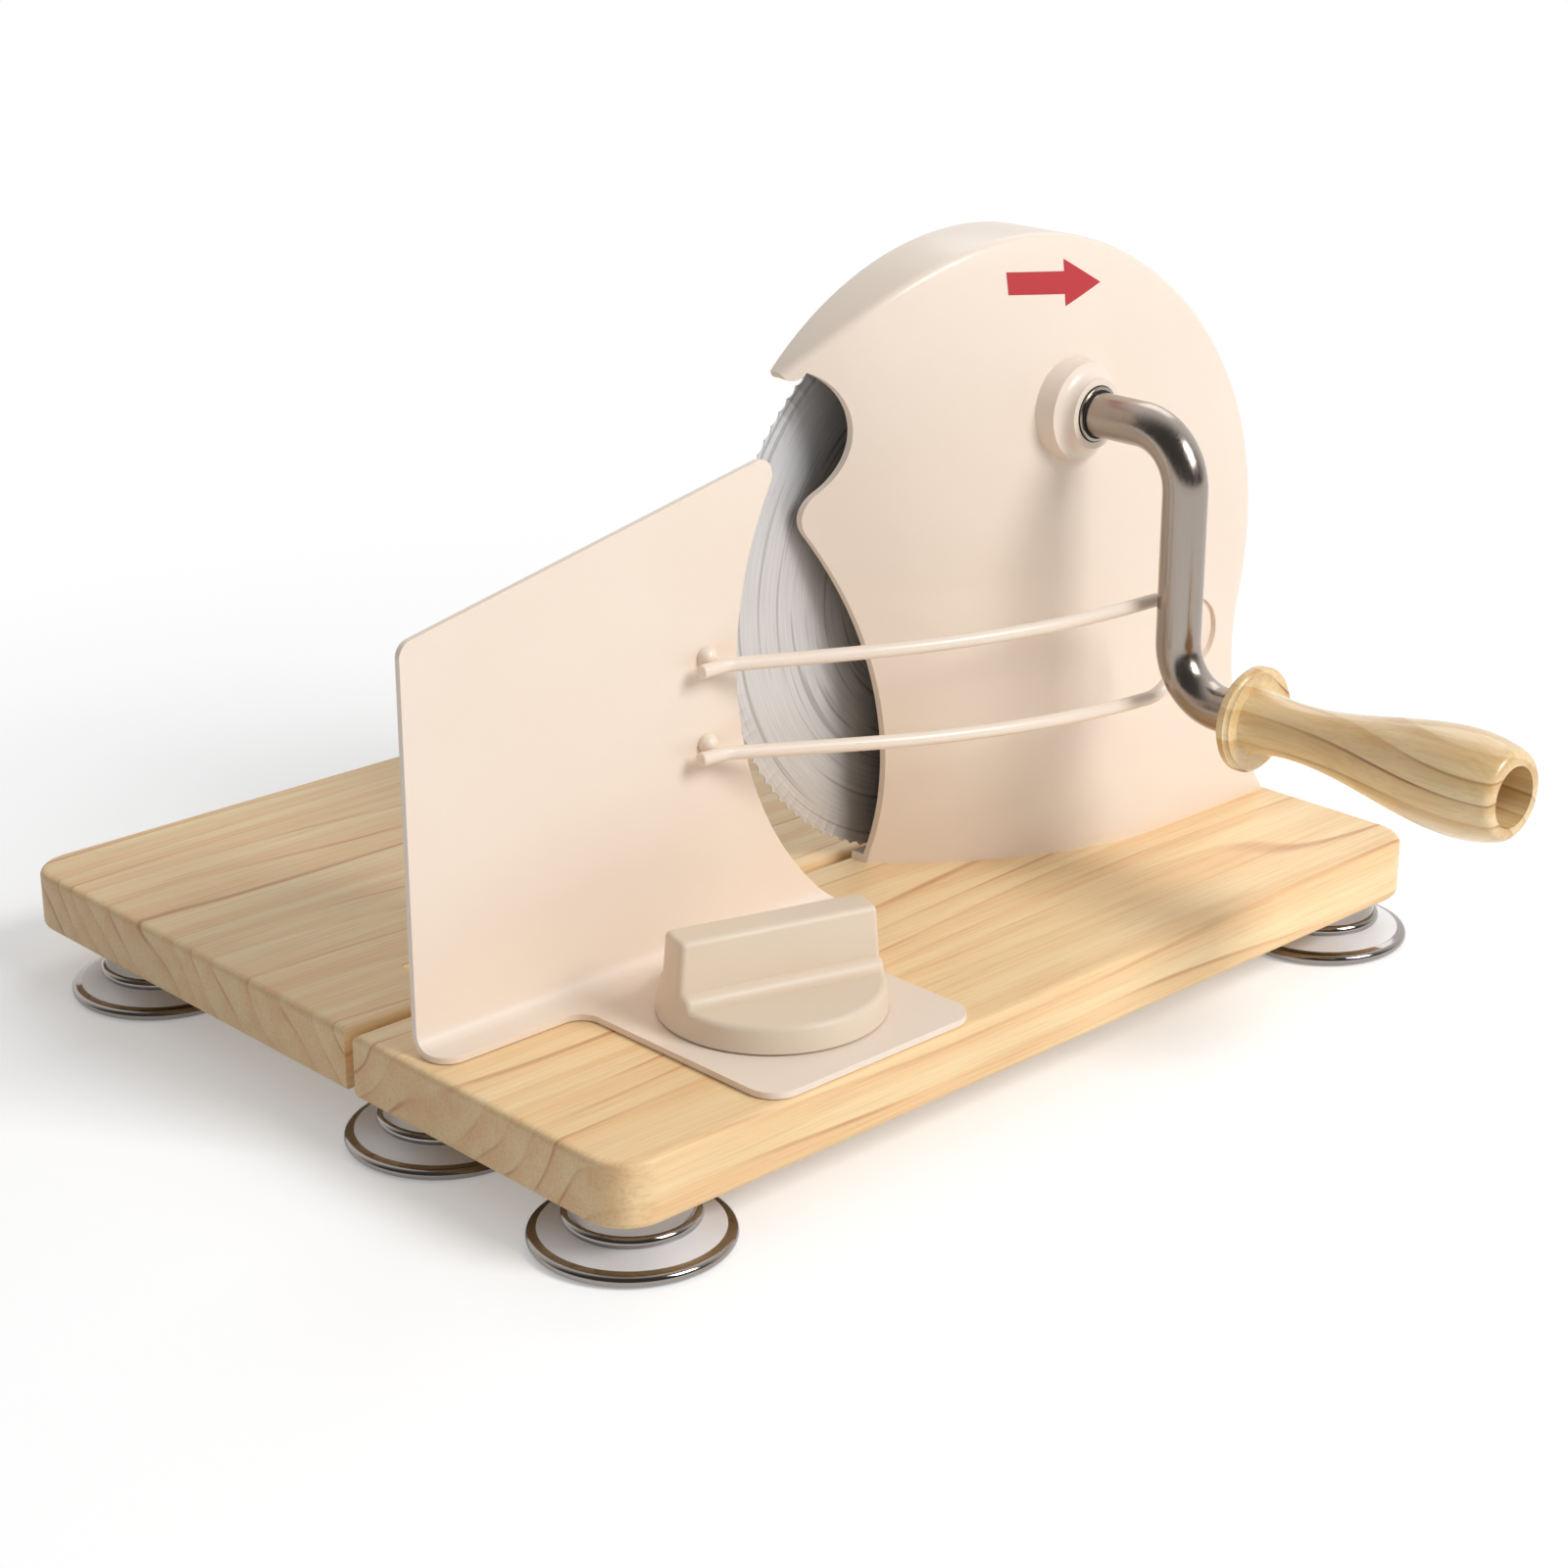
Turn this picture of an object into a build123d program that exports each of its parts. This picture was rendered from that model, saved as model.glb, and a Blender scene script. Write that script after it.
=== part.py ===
"""Bread slicer with a hand crank, on a two-part wooden base. All sizes in millimetres.

Bench coordinates, used while modelling:
    x  along the base, 0 at its left end
    y  across the base, 0 at the front board's near edge, growing towards the feed board
    z  up, 0 at the top of the boards
At the end every piece is moved so that the origin is below the middle of the whole slicer,
on the surface that it stands on.
"""
from build123d import *
import os
from math import acos, atan2, ceil, cos, hypot, pi, radians, sin, sqrt, tan

# ---------------------------------------------------------------- driving dimensions
# Base boards
board_length = 352.0
front_board_width = 117.5
feed_board_width = 177.0
board_thickness = 20.5
board_gap = 4.0
board_corner_radius = 14.5
board_edge_radius = 2.5
feed_board_relief = 0.6         # the feed board is this much thinner, so it clears the middle feet

# Feet
foot_height = 15.5
foot_radius = 29.4
foot_rim_radius = 1.7
foot_neck_radius = 18.3
foot_neck_height = 5.2
foot_bead = 1.5
foot_bead_height = 3.4
foot_wall = 1.0
foot_gap_above_floor = 0.4
foot_inset_x = 22.6
foot_inset_front = 22.0
foot_inset_middle = 12.0
foot_inset_feed = 44.6
foot_screw_radius = 2.0
foot_screw_depth = 14.0
foot_screw_head_radius = 4.5
foot_screw_head_height = 2.4
foot_screw_seat = 4.0
pad_radius = 25.0
pad_lip_width = 4.0
pad_lip_height = 3.6
pad_recess_radius = 6.0
pad_recess_depth = 9.0

# Hinges of the feed board
hinge_width = 36.0
hinge_reach = 20.0
hinge_leaf_thickness = 1.5
hinge_barrel_radius = 2.5
hinge_pin_radius = 1.25
hinge_offset = 6.0              # pin axis behind the feed board's inner edge
hinge_sink = 0.1                # top of the barrel below the board's surface
hinge_left_inset = 58.0
hinge_right_inset = 42.0
hinge_knuckle_gap = 0.3
hinge_screw_radius = 1.5
hinge_screw_head_radius = 2.8
hinge_screw_length = 11.0

# Clearances
running_clearance = 0.05
moving_clearance = 0.6
slide_clearance = 0.3

# Blade
blade_radius = 95.0
blade_thickness = 1.2
blade_tooth_count = 120
blade_tooth_depth = 1.0
blade_bevel_width = 7.0
blade_edge_thickness = 0.5
blade_centre_x = 241.3
blade_centre_z = 90.0
blade_spigot_radius = 7.0
hub_radius = 17.0
clamp_thickness = 1.4
blade_screw_radius = 1.5
blade_screw_length = 9.0
blade_screw_circle = 12.0

# Blade axle, pressed into a post of the casing
axle_radius = 4.0
axle_seat_depth = 11.5
axle_post_radius = 8.0
axle_screw_length = 9.0
axle_screw_head_radius = 6.2
axle_screw_head_height = 1.4
hub_end_play = 0.2

# Gear train
gear_module = 1.5
crank_gear_teeth = 54
pinion_teeth = 26
gear_width = 8.0
gear_backlash = 0.16
gear_pressure_angle = 20.0
gear_shoulder = 1.2             # boss of the crank gear in front of its teeth
gear_end_gap = 0.4
gear_to_cover = 6.2
crank_axis_lean = 18.8          # degrees from vertical, from the blade axis to the crank axis

# Casing: outline seen from the front
casing_height = 202.0
casing_apex_offset = 5.7        # top of the casing right of the blade axis
casing_dome_radius = 119.0
casing_shoulder_radius = 101.3
casing_foot_x = 348.0
casing_foot_height = 4.0
casing_flare_top = 70.0
casing_left_foot_x = 200.0
notch_radius = 24.0
notch_from_dome = 33.4          # notch centre right of the dome's left end
notch_drop = 56.4               # notch centre below the casing's top
notch_end_angle = -47.0
notch_hook_run = 1.5
notch_hook_drop = 13.5
beak_tip_drop = 34.0            # beak's tip below the casing's top
beak_cusp_from_notch = 9.1
beak_bulge = 2.7

# Casing: shell
casing_wall = 2.4
casing_edge_radius = 3.0
casing_back_to_edge = 1.5       # from the casing's back face to the front board's edge
casing_left_depth = 7.0         # from the front wall's free left edge to the casing's back face
casing_bow_power = 2.2
casing_bow_steps = 6
casing_margin = 12.0            # the wall's surface is drawn this far past the outline
wall_foot_depth = 52.5          # flat part of the front wall before the casing's back face, at the foot
wall_low_depth = 47.5
wall_mid_depth = 41.0
wall_top_depth = 27.0
wall_low_z = 30.0
wall_mid_z = 120.0
bow_start_low = 48.0            # where the bow begins, left of the casing's right foot
bow_start_mid = 61.0
bow_start_top = 78.0
bow_end_low = 4.0               # free left edge, left of its foot
bow_end_mid = 53.0              # free left edge, right of the dome's left end
bow_end_top = 25.0
casing_screw_radius = 2.0
casing_screw_head_radius = 4.5
casing_screw_head_height = 3.0
casing_screw_recess = 4.0
casing_screw_inset = 22.0
casing_boss_height = 11.0
casing_screw_left = 25.0        # right of the left foot
casing_screw_middle = 20.7      # right of the blade axis
casing_screw_right = 50.0       # left of the right foot

# Recess in the front wall, right of the crank's arm
recess_from_crank_x = 57.4
recess_z = 62.0
recess_radius = 11.4
recess_depth = 5.0

# Gear cover
cover_thickness = 2.0
cover_from_back = 1.8
cover_clearance = 0.4
cover_setback = 16.0
cover_post_radius = 4.5
cover_post_clearance = 13.0
cover_screw_radius = 1.5
cover_screw_length = 7.0
cover_screw_head_radius = 2.8
cover_screw_head_height = 1.6

# Crank
crank_radius = 84.4
crank_rod_radius = 7.1
crank_bend_radius = 18.4
crank_arm_y = 32.5
crank_pin_radius = 4.0
crank_shoulder_run = 10.1       # straight end of the rod in front of the lower bend
crank_flat_depth = 1.7          # flat on the seat of the gear
crank_screw_radius = 2.5
crank_screw_length = 11.0
crank_screw_head_radius = 4.2
crank_screw_head_height = 2.4
gear_washer_thickness = 1.6
gear_washer_overlap = 3.0
gear_hub_wall = 5.0

# Boss and bush of the crank
boss_face_y = 69.0
boss_radius = 15.6
boss_base_radius = 17.2
boss_edge_radius = 4.5
boss_skirt = 15.0
boss_wall = 3.5
bush_wall = 1.6
bush_flange_height = 0.8

# Handle
handle_length = 97.0
handle_collar_radius = 16.7
handle_collar_thickness = 4.8
handle_collar_round = 1.4
handle_neck_radius = 11.2
handle_waist_radius = 9.9
handle_waist_place = 35.0       # waist from the collar's end
handle_belly_radius = 16.1
handle_belly_place = 24.0       # belly from the open end
handle_end_radius = 14.4
handle_end_round = 3.2
handle_bore_radius = 9.4
handle_bore_depth = 34.0
handle_end_play = 0.4
handle_screw_radius = 2.0
handle_screw_length = 11.0
handle_screw_head_radius = 4.6
handle_screw_head_height = 3.4
handle_washer_radius = 8.2
handle_washer_thickness = 1.5

# Guide plate
sheet_thickness = 2.0
plate_face_y = 93.0             # front face of the upright plate, at the widest slice
plate_left_x = 4.8
plate_shoulder_height = 121.5
plate_peak_height = 151.5
plate_notch_gap = 16.4          # hollow edge outside the blade's rim
plate_notch_shift_x = -1.8
plate_notch_shift_z = -2.5
plate_corner_radius = 5.0
plate_bend_radius = 4.5
flange_depth = 12.0
flange_corner_radius = 7.0
flange_overhang = 2.0
tab_left_x = 55.8
tab_right_x = 138.2
tab_front_y = 1.0
tab_corner_radius = 9.0
guide_travel = 22.0

# Guide wire and its rivets
wire_radius = 2.15
wire_start_x = 108.5
wire_upper_z = 91.7
wire_lower_z = 64.6
wire_stand_off = 5.6            # wire's axis in front of the plate
wire_straight = 8.0
wire_bend_radius = 10.0
wire_bend_angle = 26.5
wire_run = 39.0
wire_reach = 152.5              # from the cut ends to the turn
wire_spread_angle = 1.0
wire_droop_angle = 1.3
wire_end_round = 0.6
rivet_x = 115.4
rivet_head_radius = 3.0
rivet_head_height = 4.0
rivet_shank_radius = 1.5
rivet_rise = 2.2                # rivet axis above the wire's axis

# Thickness knob and its rack drive
knob_x = 97.2
knob_y = 45.1
knob_radius = 33.9
knob_top_radius = 31.7
knob_base_height = 8.0
knob_grip_height = 19.5
knob_grip_width = 12.4
knob_cove_radius = 4.0
knob_edge_radius = 2.0
knob_angle = -17.0
knob_seat_gap = 0.6
knob_stud_radius = 3.0
knob_crown = 8.0                # solid above the spindle's bore
knob_screw_head_radius = 7.0
knob_screw_head_height = 1.5
knob_screw_recess = 4.0
knob_screw_length = 9.0
rack_module = 0.8
rack_pinion_teeth = 12
guide_key_width = 8.0
guide_key_depth = 3.0
guide_key_length = 32.0
guide_key_spacing = 44.0
guide_key_y = 28.0

# ---------------------------------------------------------------- derived places
feed_board_y = front_board_width + board_gap
base_far_y = feed_board_y + feed_board_width
feed_board_thickness = board_thickness - feed_board_relief
blade_front_y = front_board_width + (board_gap - blade_thickness) / 2
blade_back_y = blade_front_y + blade_thickness

hinge_y = feed_board_y + hinge_offset
hinge_z = -hinge_sink - hinge_barrel_radius
hinge_pocket_depth = hinge_sink + hinge_leaf_thickness

gear_distance = gear_module * (crank_gear_teeth + pinion_teeth) / 2
crank_x = blade_centre_x + gear_distance * sin(radians(crank_axis_lean))
crank_z = blade_centre_z + gear_distance * cos(radians(crank_axis_lean))

casing_back_y = front_board_width - casing_back_to_edge
casing_apex_x = blade_centre_x + casing_apex_offset
casing_dome_x = casing_apex_x - casing_dome_radius
casing_left_y = casing_back_y - casing_left_depth
notch_x = casing_dome_x + notch_from_dome
notch_z = casing_height - notch_drop
casing_screw_xs = (
    casing_left_foot_x + casing_screw_left,
    blade_centre_x + casing_screw_middle,
    casing_foot_x - casing_screw_right,
)
casing_screw_y = casing_back_y - casing_screw_inset
recess_x = crank_x + recess_from_crank_x
# Front wall at four heights: height, y of its flat right part, x where the bow begins,
# x of its free left edge
front_stations = [
    (height, casing_back_y - depth, casing_foot_x - bow_start, left_x)
    for height, depth, bow_start, left_x in (
        (casing_foot_height, wall_foot_depth, bow_start_low, casing_left_foot_x),
        (wall_low_z, wall_low_depth, bow_start_low, casing_left_foot_x - bow_end_low),
        (wall_mid_z, wall_mid_depth, bow_start_mid, casing_dome_x + bow_end_mid),
        (casing_height, wall_top_depth, bow_start_top, casing_dome_x + bow_end_top),
    )
]
recess_floor_y = front_stations[1][1] + recess_depth

cover_back_y = casing_back_y - cover_from_back
cover_front_y = cover_back_y - cover_thickness
gear_back_y = cover_front_y - gear_to_cover
gear_front_y = gear_back_y - gear_width
bush_end_y = gear_front_y - gear_shoulder - gear_end_gap
bush_radius = crank_rod_radius + bush_wall
axle_start_y = gear_front_y - axle_seat_depth
axle_post_end_y = gear_front_y - moving_clearance
axle_end_y = blade_back_y + clamp_thickness + hub_end_play

handle_z = crank_z - crank_radius
handle_inner_y = crank_arm_y - crank_bend_radius - crank_shoulder_run
handle_end_y = handle_inner_y - handle_length
handle_bore_floor_y = handle_end_y + handle_bore_depth
crank_pin_end_y = handle_bore_floor_y - handle_end_play / 2

sheet_bottom = slide_clearance
sheet_top = sheet_bottom + sheet_thickness
plate_back_y = plate_face_y + sheet_thickness
plate_notch_x = blade_centre_x + plate_notch_shift_x
plate_notch_z = blade_centre_z + plate_notch_shift_z
plate_notch_radius = blade_radius + plate_notch_gap
flange_front_y = plate_face_y - flange_depth
wire_middle_z = (wire_upper_z + wire_lower_z) / 2
wire_y = plate_face_y - wire_stand_off
knob_bottom = sheet_top + knob_seat_gap
knob_height = knob_base_height + knob_grip_height
knob_screw_seat_z = knob_screw_recess - board_thickness
rack_pitch = pi * rack_module
rack_pinion_radius = rack_module * rack_pinion_teeth / 2

middle_y = (handle_end_y + base_far_y) / 2


# ---------------------------------------------------------------- helpers
def y_cylinder(radius, start_y, end_y, x, z):
    """Cylinder along Y between two y values."""
    base = Plane.XZ.offset(-end_y) * Pos(x, z) * Circle(radius)
    return extrude(base, amount=end_y - start_y)


def z_cylinder(radius, start_z, end_z, x, y):
    """Cylinder along Z between two z values."""
    return extrude(Pos(x, y, start_z) * Circle(radius), amount=end_z - start_z)


def y_prism(face, start_y, end_y):
    """A face drawn with x across and z up, as a prism between two y values."""
    return extrude(Plane.XZ.offset(-end_y) * face, amount=end_y - start_y)


def x_cylinder(radius, x0, x1, y, z):
    """Cylinder along X between two x values."""
    base = Plane.YZ.offset(x0) * Pos(y, z) * Circle(radius)
    return extrude(base, amount=x1 - x0)


def box(x0, x1, y0, y1, z0, z1):
    """Box from its low and high corners."""
    return Pos((x0 + x1) / 2, (y0 + y1) / 2, (z0 + z1) / 2) * Box(x1 - x0, y1 - y0, z1 - z0)


def polar(radius, angle):
    """Point at a radius and an angle in radians."""
    return (radius * cos(angle), radius * sin(angle))


def gear_face(teeth, module, tooth_angle, backlash):
    """Spur gear outline with involute flanks; one tooth points along tooth_angle."""
    pressure = radians(gear_pressure_angle)
    pitch_radius = module * teeth / 2
    base_radius = pitch_radius * cos(pressure)
    tip_radius = pitch_radius + module
    root_radius = pitch_radius - 1.25 * module
    half_tooth = pi / (2 * teeth) - backlash / (2 * pitch_radius)
    involute_at_pitch = tan(pressure) - pressure
    start_radius = max(base_radius, root_radius)

    def flank_angle(radius):
        roll = acos(base_radius / radius)
        return half_tooth + involute_at_pitch - (tan(roll) - roll)

    radii = [start_radius, pitch_radius, tip_radius]
    edges = []
    for index in range(teeth):
        centre = tooth_angle + 2 * pi * index / teeth
        rising = [polar(radius, centre - flank_angle(radius)) for radius in radii]
        falling = [polar(radius, centre + flank_angle(radius)) for radius in reversed(radii)]
        if root_radius < start_radius:
            rising.insert(0, polar(root_radius, centre - flank_angle(start_radius)))
            falling.append(polar(root_radius, centre + flank_angle(start_radius)))
        next_start = polar(root_radius, centre + 2 * pi / teeth - flank_angle(start_radius))
        edges.append(Polyline(*rising, *falling, next_start))
    return make_face(edges)


# ---------------------------------------------------------------- base boards
def rounded_board(length, width, thickness, rounded_side):
    """Board with two rounded corners on its outer side and softened long edges."""
    board = box(0, length, 0, width, -thickness, 0)
    outer_y = 0 if rounded_side == "near" else width
    corners = [
        edge for edge in board.edges().filter_by(Axis.Z)
        if abs(edge.center().Y - outer_y) < board_edge_radius
    ]
    board = fillet(corners, board_corner_radius)
    top_and_bottom = board.faces().filter_by(Axis.Z)
    rims = [edge for face in top_and_bottom for edge in face.edges()]
    return fillet(rims, board_edge_radius)


def foot_places():
    """Feet under the front board and under the feed board, as (name, x, y)."""
    sides = (("left", foot_inset_x), ("right", board_length - foot_inset_x))
    front = [(f"front_{side}", x, foot_inset_front) for side, x in sides]
    middle = [(f"middle_{side}", x, front_board_width - foot_inset_middle) for side, x in sides]
    feed = [(f"feed_{side}", x, base_far_y - foot_inset_feed) for side, x in sides]
    return front + middle, feed


def hinge_places():
    """Middle x of each hinge."""
    return (("left", hinge_left_inset), ("right", board_length - hinge_right_inset))


def hinge_screw_places(side_sign):
    """Two screws in each hinge leaf, on the side of the pin given by the sign."""
    reach = hinge_offset + board_gap + hinge_reach / 2 if side_sign < 0 else hinge_reach / 2
    y = hinge_y + side_sign * reach
    return [(x + step, y) for _, x in hinge_places() for step in (-hinge_width / 4, hinge_width / 4)]


def front_board():
    """Front board with its screw holes, key grooves, spindle hole and hinge pockets."""
    board = rounded_board(board_length, front_board_width, board_thickness, "near")
    front_feet, _ = foot_places()
    for _, x, y in front_feet:
        board -= z_cylinder(foot_screw_radius, -board_thickness, foot_screw_depth - board_thickness, x, y)
    for x in casing_screw_xs:
        board -= z_cylinder(casing_screw_radius, -board_thickness, 0, x, casing_screw_y)
        board -= z_cylinder(
            casing_screw_head_radius + moving_clearance,
            -board_thickness, casing_screw_recess - board_thickness,
            x, casing_screw_y,
        )
    board -= z_cylinder(knob_stud_radius + running_clearance, -board_thickness, 0, knob_x, knob_y)
    board -= z_cylinder(
        knob_screw_head_radius + moving_clearance,
        -board_thickness, knob_screw_seat_z,
        knob_x, knob_y,
    )
    for x in guide_key_xs():
        board -= box(
            x - guide_key_width / 2 - slide_clearance, x + guide_key_width / 2 + slide_clearance,
            guide_key_y - slide_clearance, guide_key_y + guide_key_length + guide_travel + slide_clearance,
            -guide_key_depth - slide_clearance, 0,
        )
    for _, x in hinge_places():
        board -= box(
            x - hinge_width / 2, x + hinge_width / 2,
            front_board_width - hinge_reach, front_board_width,
            -hinge_pocket_depth, 0,
        )
    for x, y in hinge_screw_places(-1):
        board -= z_cylinder(hinge_screw_radius, -hinge_screw_length, 0, x, y)
    return board


def feed_board():
    """Feed board with the pockets that its hinges fold in."""
    board = rounded_board(board_length, feed_board_width, feed_board_thickness, "far")
    board = Pos(0, feed_board_y, 0) * board
    _, feed_feet = foot_places()
    screw_end = foot_screw_depth - board_thickness
    for _, x, y in feed_feet:
        board -= z_cylinder(foot_screw_radius, -feed_board_thickness, screw_end, x, y)
    for _, x in hinge_places():
        board -= box(
            x - hinge_width / 2 - moving_clearance, x + hinge_width / 2 + moving_clearance,
            feed_board_y, hinge_y + hinge_barrel_radius + moving_clearance,
            hinge_z - hinge_barrel_radius - moving_clearance, 0,
        )
        board -= box(
            x - hinge_width / 2, x + hinge_width / 2,
            hinge_y, hinge_y + hinge_reach,
            -hinge_pocket_depth, 0,
        )
    for x, y in hinge_screw_places(1):
        board -= z_cylinder(hinge_screw_radius, -hinge_screw_length, 0, x, y)
    return board


# ---------------------------------------------------------------- hinges of the feed board
def knuckle_spans(middle_x):
    """Three knuckles, as spans along the pin: outer, middle, outer."""
    knuckle = (hinge_width - 2 * hinge_knuckle_gap) / 3
    starts = [middle_x - hinge_width / 2 + index * (knuckle + hinge_knuckle_gap) for index in range(3)]
    return [(start, start + knuckle) for start in starts]


def countersunk_screw(x, y):
    """Flat-headed screw let in flush with a hinge leaf, pointing down."""
    top = -hinge_sink
    head = Pos(x, y, top - hinge_leaf_thickness / 2) * Cone(
        hinge_screw_radius, hinge_screw_head_radius, hinge_leaf_thickness
    )
    return head + z_cylinder(hinge_screw_radius, -hinge_screw_length, top - hinge_leaf_thickness, x, y)


def hinge_leaf(middle_x, side_sign):
    """One leaf of a hinge, with its knuckles; side_sign is -1 for the front leaf."""
    spans = knuckle_spans(middle_x)
    own = [spans[0], spans[2]] if side_sign < 0 else [spans[1]]
    pin_bore = hinge_pin_radius if side_sign < 0 else hinge_pin_radius + running_clearance
    top = -hinge_sink
    bottom = top - hinge_leaf_thickness
    root = hinge_barrel_radius + hinge_knuckle_gap
    reach = hinge_y - (front_board_width - hinge_reach) if side_sign < 0 else hinge_reach
    y0, y1 = sorted((hinge_y + side_sign * root, hinge_y + side_sign * reach))
    leaf = box(middle_x - hinge_width / 2, middle_x + hinge_width / 2, y0, y1, bottom, top)
    for x0, x1 in own:
        arm_y0, arm_y1 = sorted((hinge_y, hinge_y + side_sign * root))
        leaf += box(x0, x1, arm_y0, arm_y1, bottom, top)
        leaf += x_cylinder(hinge_barrel_radius, x0, x1, hinge_y, hinge_z)
    leaf -= x_cylinder(pin_bore, spans[0][0], spans[2][1], hinge_y, hinge_z)
    for x, y in hinge_screw_places(side_sign):
        if abs(x - middle_x) < hinge_width / 2:
            leaf -= countersunk_screw(x, y)
    return leaf


def hinge_pin(middle_x):
    """Hinge pin, held in the front leaf's knuckles."""
    half = hinge_width / 2
    return x_cylinder(hinge_pin_radius, middle_x - half, middle_x + half, hinge_y, hinge_z)


# ---------------------------------------------------------------- feet
def foot_shell(lift):
    """Pressed steel cap of a foot: neck, bead, cone and rolled rim; lift raises its top above z = 0."""
    rim_r = foot_radius - foot_rim_radius
    rim_z = -(foot_height - foot_gap_above_floor - foot_rim_radius)
    bead_z = -(foot_neck_height + foot_bead_height)
    inside = foot_neck_radius - foot_wall
    outline = [
        Line((foot_screw_radius, lift), (foot_neck_radius, lift)),
        Line((foot_neck_radius, lift), (foot_neck_radius, -foot_neck_height)),
        ThreePointArc(
            (foot_neck_radius, -foot_neck_height),
            (foot_neck_radius + foot_bead, -foot_neck_height - foot_bead_height * 0.45),
            (foot_neck_radius + foot_bead * 0.6, bead_z),
        ),
        Line((foot_neck_radius + foot_bead * 0.6, bead_z), (rim_r, rim_z + foot_rim_radius)),
        ThreePointArc(
            (rim_r, rim_z + foot_rim_radius),
            (foot_radius, rim_z),
            (rim_r, rim_z - foot_rim_radius),
        ),
        ThreePointArc(
            (rim_r, rim_z - foot_rim_radius),
            (rim_r - foot_rim_radius * cos(pi / 4), rim_z - foot_rim_radius * sin(pi / 4)),
            (rim_r - foot_rim_radius, rim_z),
        ),
        Line((rim_r - foot_rim_radius, rim_z), (inside, bead_z - foot_wall / 3)),
        Line((inside, bead_z - foot_wall / 3), (inside, lift - foot_wall)),
        Line((inside, lift - foot_wall), (foot_screw_radius, lift - foot_wall)),
        Line((foot_screw_radius, lift - foot_wall), (foot_screw_radius, lift)),
    ]
    return revolve(Plane.XZ * make_face(outline), Axis.Z, 360)


def foot_pad(lift):
    """Rubber suction pad inside a foot; its lip stands on the table."""
    inside = foot_neck_radius - foot_wall
    cone_top_z = -(foot_neck_height + foot_bead_height) - foot_wall / 3
    rim_inner_r = foot_radius - 2 * foot_rim_radius
    rim_z = -(foot_height - foot_gap_above_floor - foot_rim_radius)
    share = (pad_radius - inside) / (rim_inner_r - inside)
    shoulder_z = cone_top_z + share * (rim_z - cone_top_z)
    lip_inner_r = pad_radius - pad_lip_width
    outline = [
        Line((foot_screw_radius, lift - foot_wall), (inside, lift - foot_wall)),
        Line((inside, lift - foot_wall), (inside, cone_top_z)),
        Line((inside, cone_top_z), (pad_radius, shoulder_z)),
        Line((pad_radius, shoulder_z), (pad_radius, -foot_height)),
        Line((pad_radius, -foot_height), (lip_inner_r, -foot_height)),
        ThreePointArc(
            (lip_inner_r, -foot_height),
            ((lip_inner_r + pad_recess_radius) / 2, -foot_height + pad_lip_height),
            (pad_recess_radius, -pad_recess_depth),
        ),
        Line((pad_recess_radius, -pad_recess_depth), (pad_recess_radius, -foot_screw_seat)),
        Line((pad_recess_radius, -foot_screw_seat), (foot_screw_radius, -foot_screw_seat)),
        Line((foot_screw_radius, -foot_screw_seat), (foot_screw_radius, lift - foot_wall)),
    ]
    return revolve(Plane.XZ * make_face(outline), Axis.Z, 360)


def foot_screw():
    """Screw that holds a foot to its board."""
    seat = -foot_screw_seat
    shank = z_cylinder(foot_screw_radius, seat, foot_screw_depth, 0, 0)
    head = z_cylinder(foot_screw_head_radius, seat - foot_screw_head_height, seat, 0, 0)
    return head + shank


# ---------------------------------------------------------------- casing
def bow_offset(share, flat_y):
    """How far the front wall bows back at a share of the way to its left edge."""
    return (casing_left_y - flat_y) * share ** casing_bow_power


def front_section(station, inset, spread):
    """Plan outline of the space behind the front wall at one height."""
    z, flat_y, flat_x, left_x = station
    back_y = casing_back_y + spread
    share_at_back = ((back_y - flat_y) / (casing_left_y - flat_y)) ** (1 / casing_bow_power)
    shares = [share_at_back * (1 - step / casing_bow_steps) for step in range(casing_bow_steps + 1)]
    right_limit = casing_foot_x + casing_margin
    points = [
        (flat_x - share * (flat_x - left_x), flat_y + bow_offset(share, flat_y) + inset) for share in shares
    ]
    corner = (right_limit, points[-1][1])
    back_corner = (right_limit, points[0][1])
    edges = [
        Spline(points, tangents=[(1, -1.6), (1, 0)]),
        Line(points[-1], corner),
        Line(corner, back_corner),
        Line(back_corner, points[0]),
    ]
    return Pos(0, 0, z) * make_face(edges)


def front_body(inset):
    """Solid behind the front wall's surface, moved back by an inset."""
    sections = [front_section(station, inset, casing_margin) for station in front_stations]
    body = loft(sections)
    foot = extrude(sections[0], amount=-casing_foot_height - casing_wall)
    return body + foot


def casing_envelope(inset):
    """Outline of the casing seen from the front, before the blade notch is taken away."""
    top = (casing_apex_x, casing_height - inset)
    dome_z = casing_height - casing_dome_radius
    dome_radius = casing_dome_radius - inset
    left = (casing_apex_x - dome_radius, dome_z)
    dome_middle = (casing_apex_x - dome_radius * sin(pi / 4), dome_z + dome_radius * cos(pi / 4))
    shoulder_z = casing_height - casing_shoulder_radius
    shoulder_radius = casing_shoulder_radius - inset
    end_angle = -acos(sqrt(1 - ((shoulder_z - casing_flare_top) / casing_shoulder_radius) ** 2))
    flare_start = (
        casing_apex_x + shoulder_radius * cos(end_angle),
        shoulder_z + shoulder_radius * sin(end_angle),
    )
    shoulder = ThreePointArc(
        top,
        (casing_apex_x + shoulder_radius * cos(pi / 5), shoulder_z + shoulder_radius * sin(pi / 5)),
        flare_start,
    )
    foot_top = (casing_foot_x - inset, casing_foot_height)
    flare = TangentArc(flare_start, foot_top, tangent=shoulder % 1)
    edges = [
        shoulder,
        flare,
        Line(foot_top, (foot_top[0], inset)),
        Line((foot_top[0], inset), (left[0], inset)),
        Line((left[0], inset), left),
        ThreePointArc(left, dome_middle, top),
    ]
    return make_face(edges)


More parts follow.
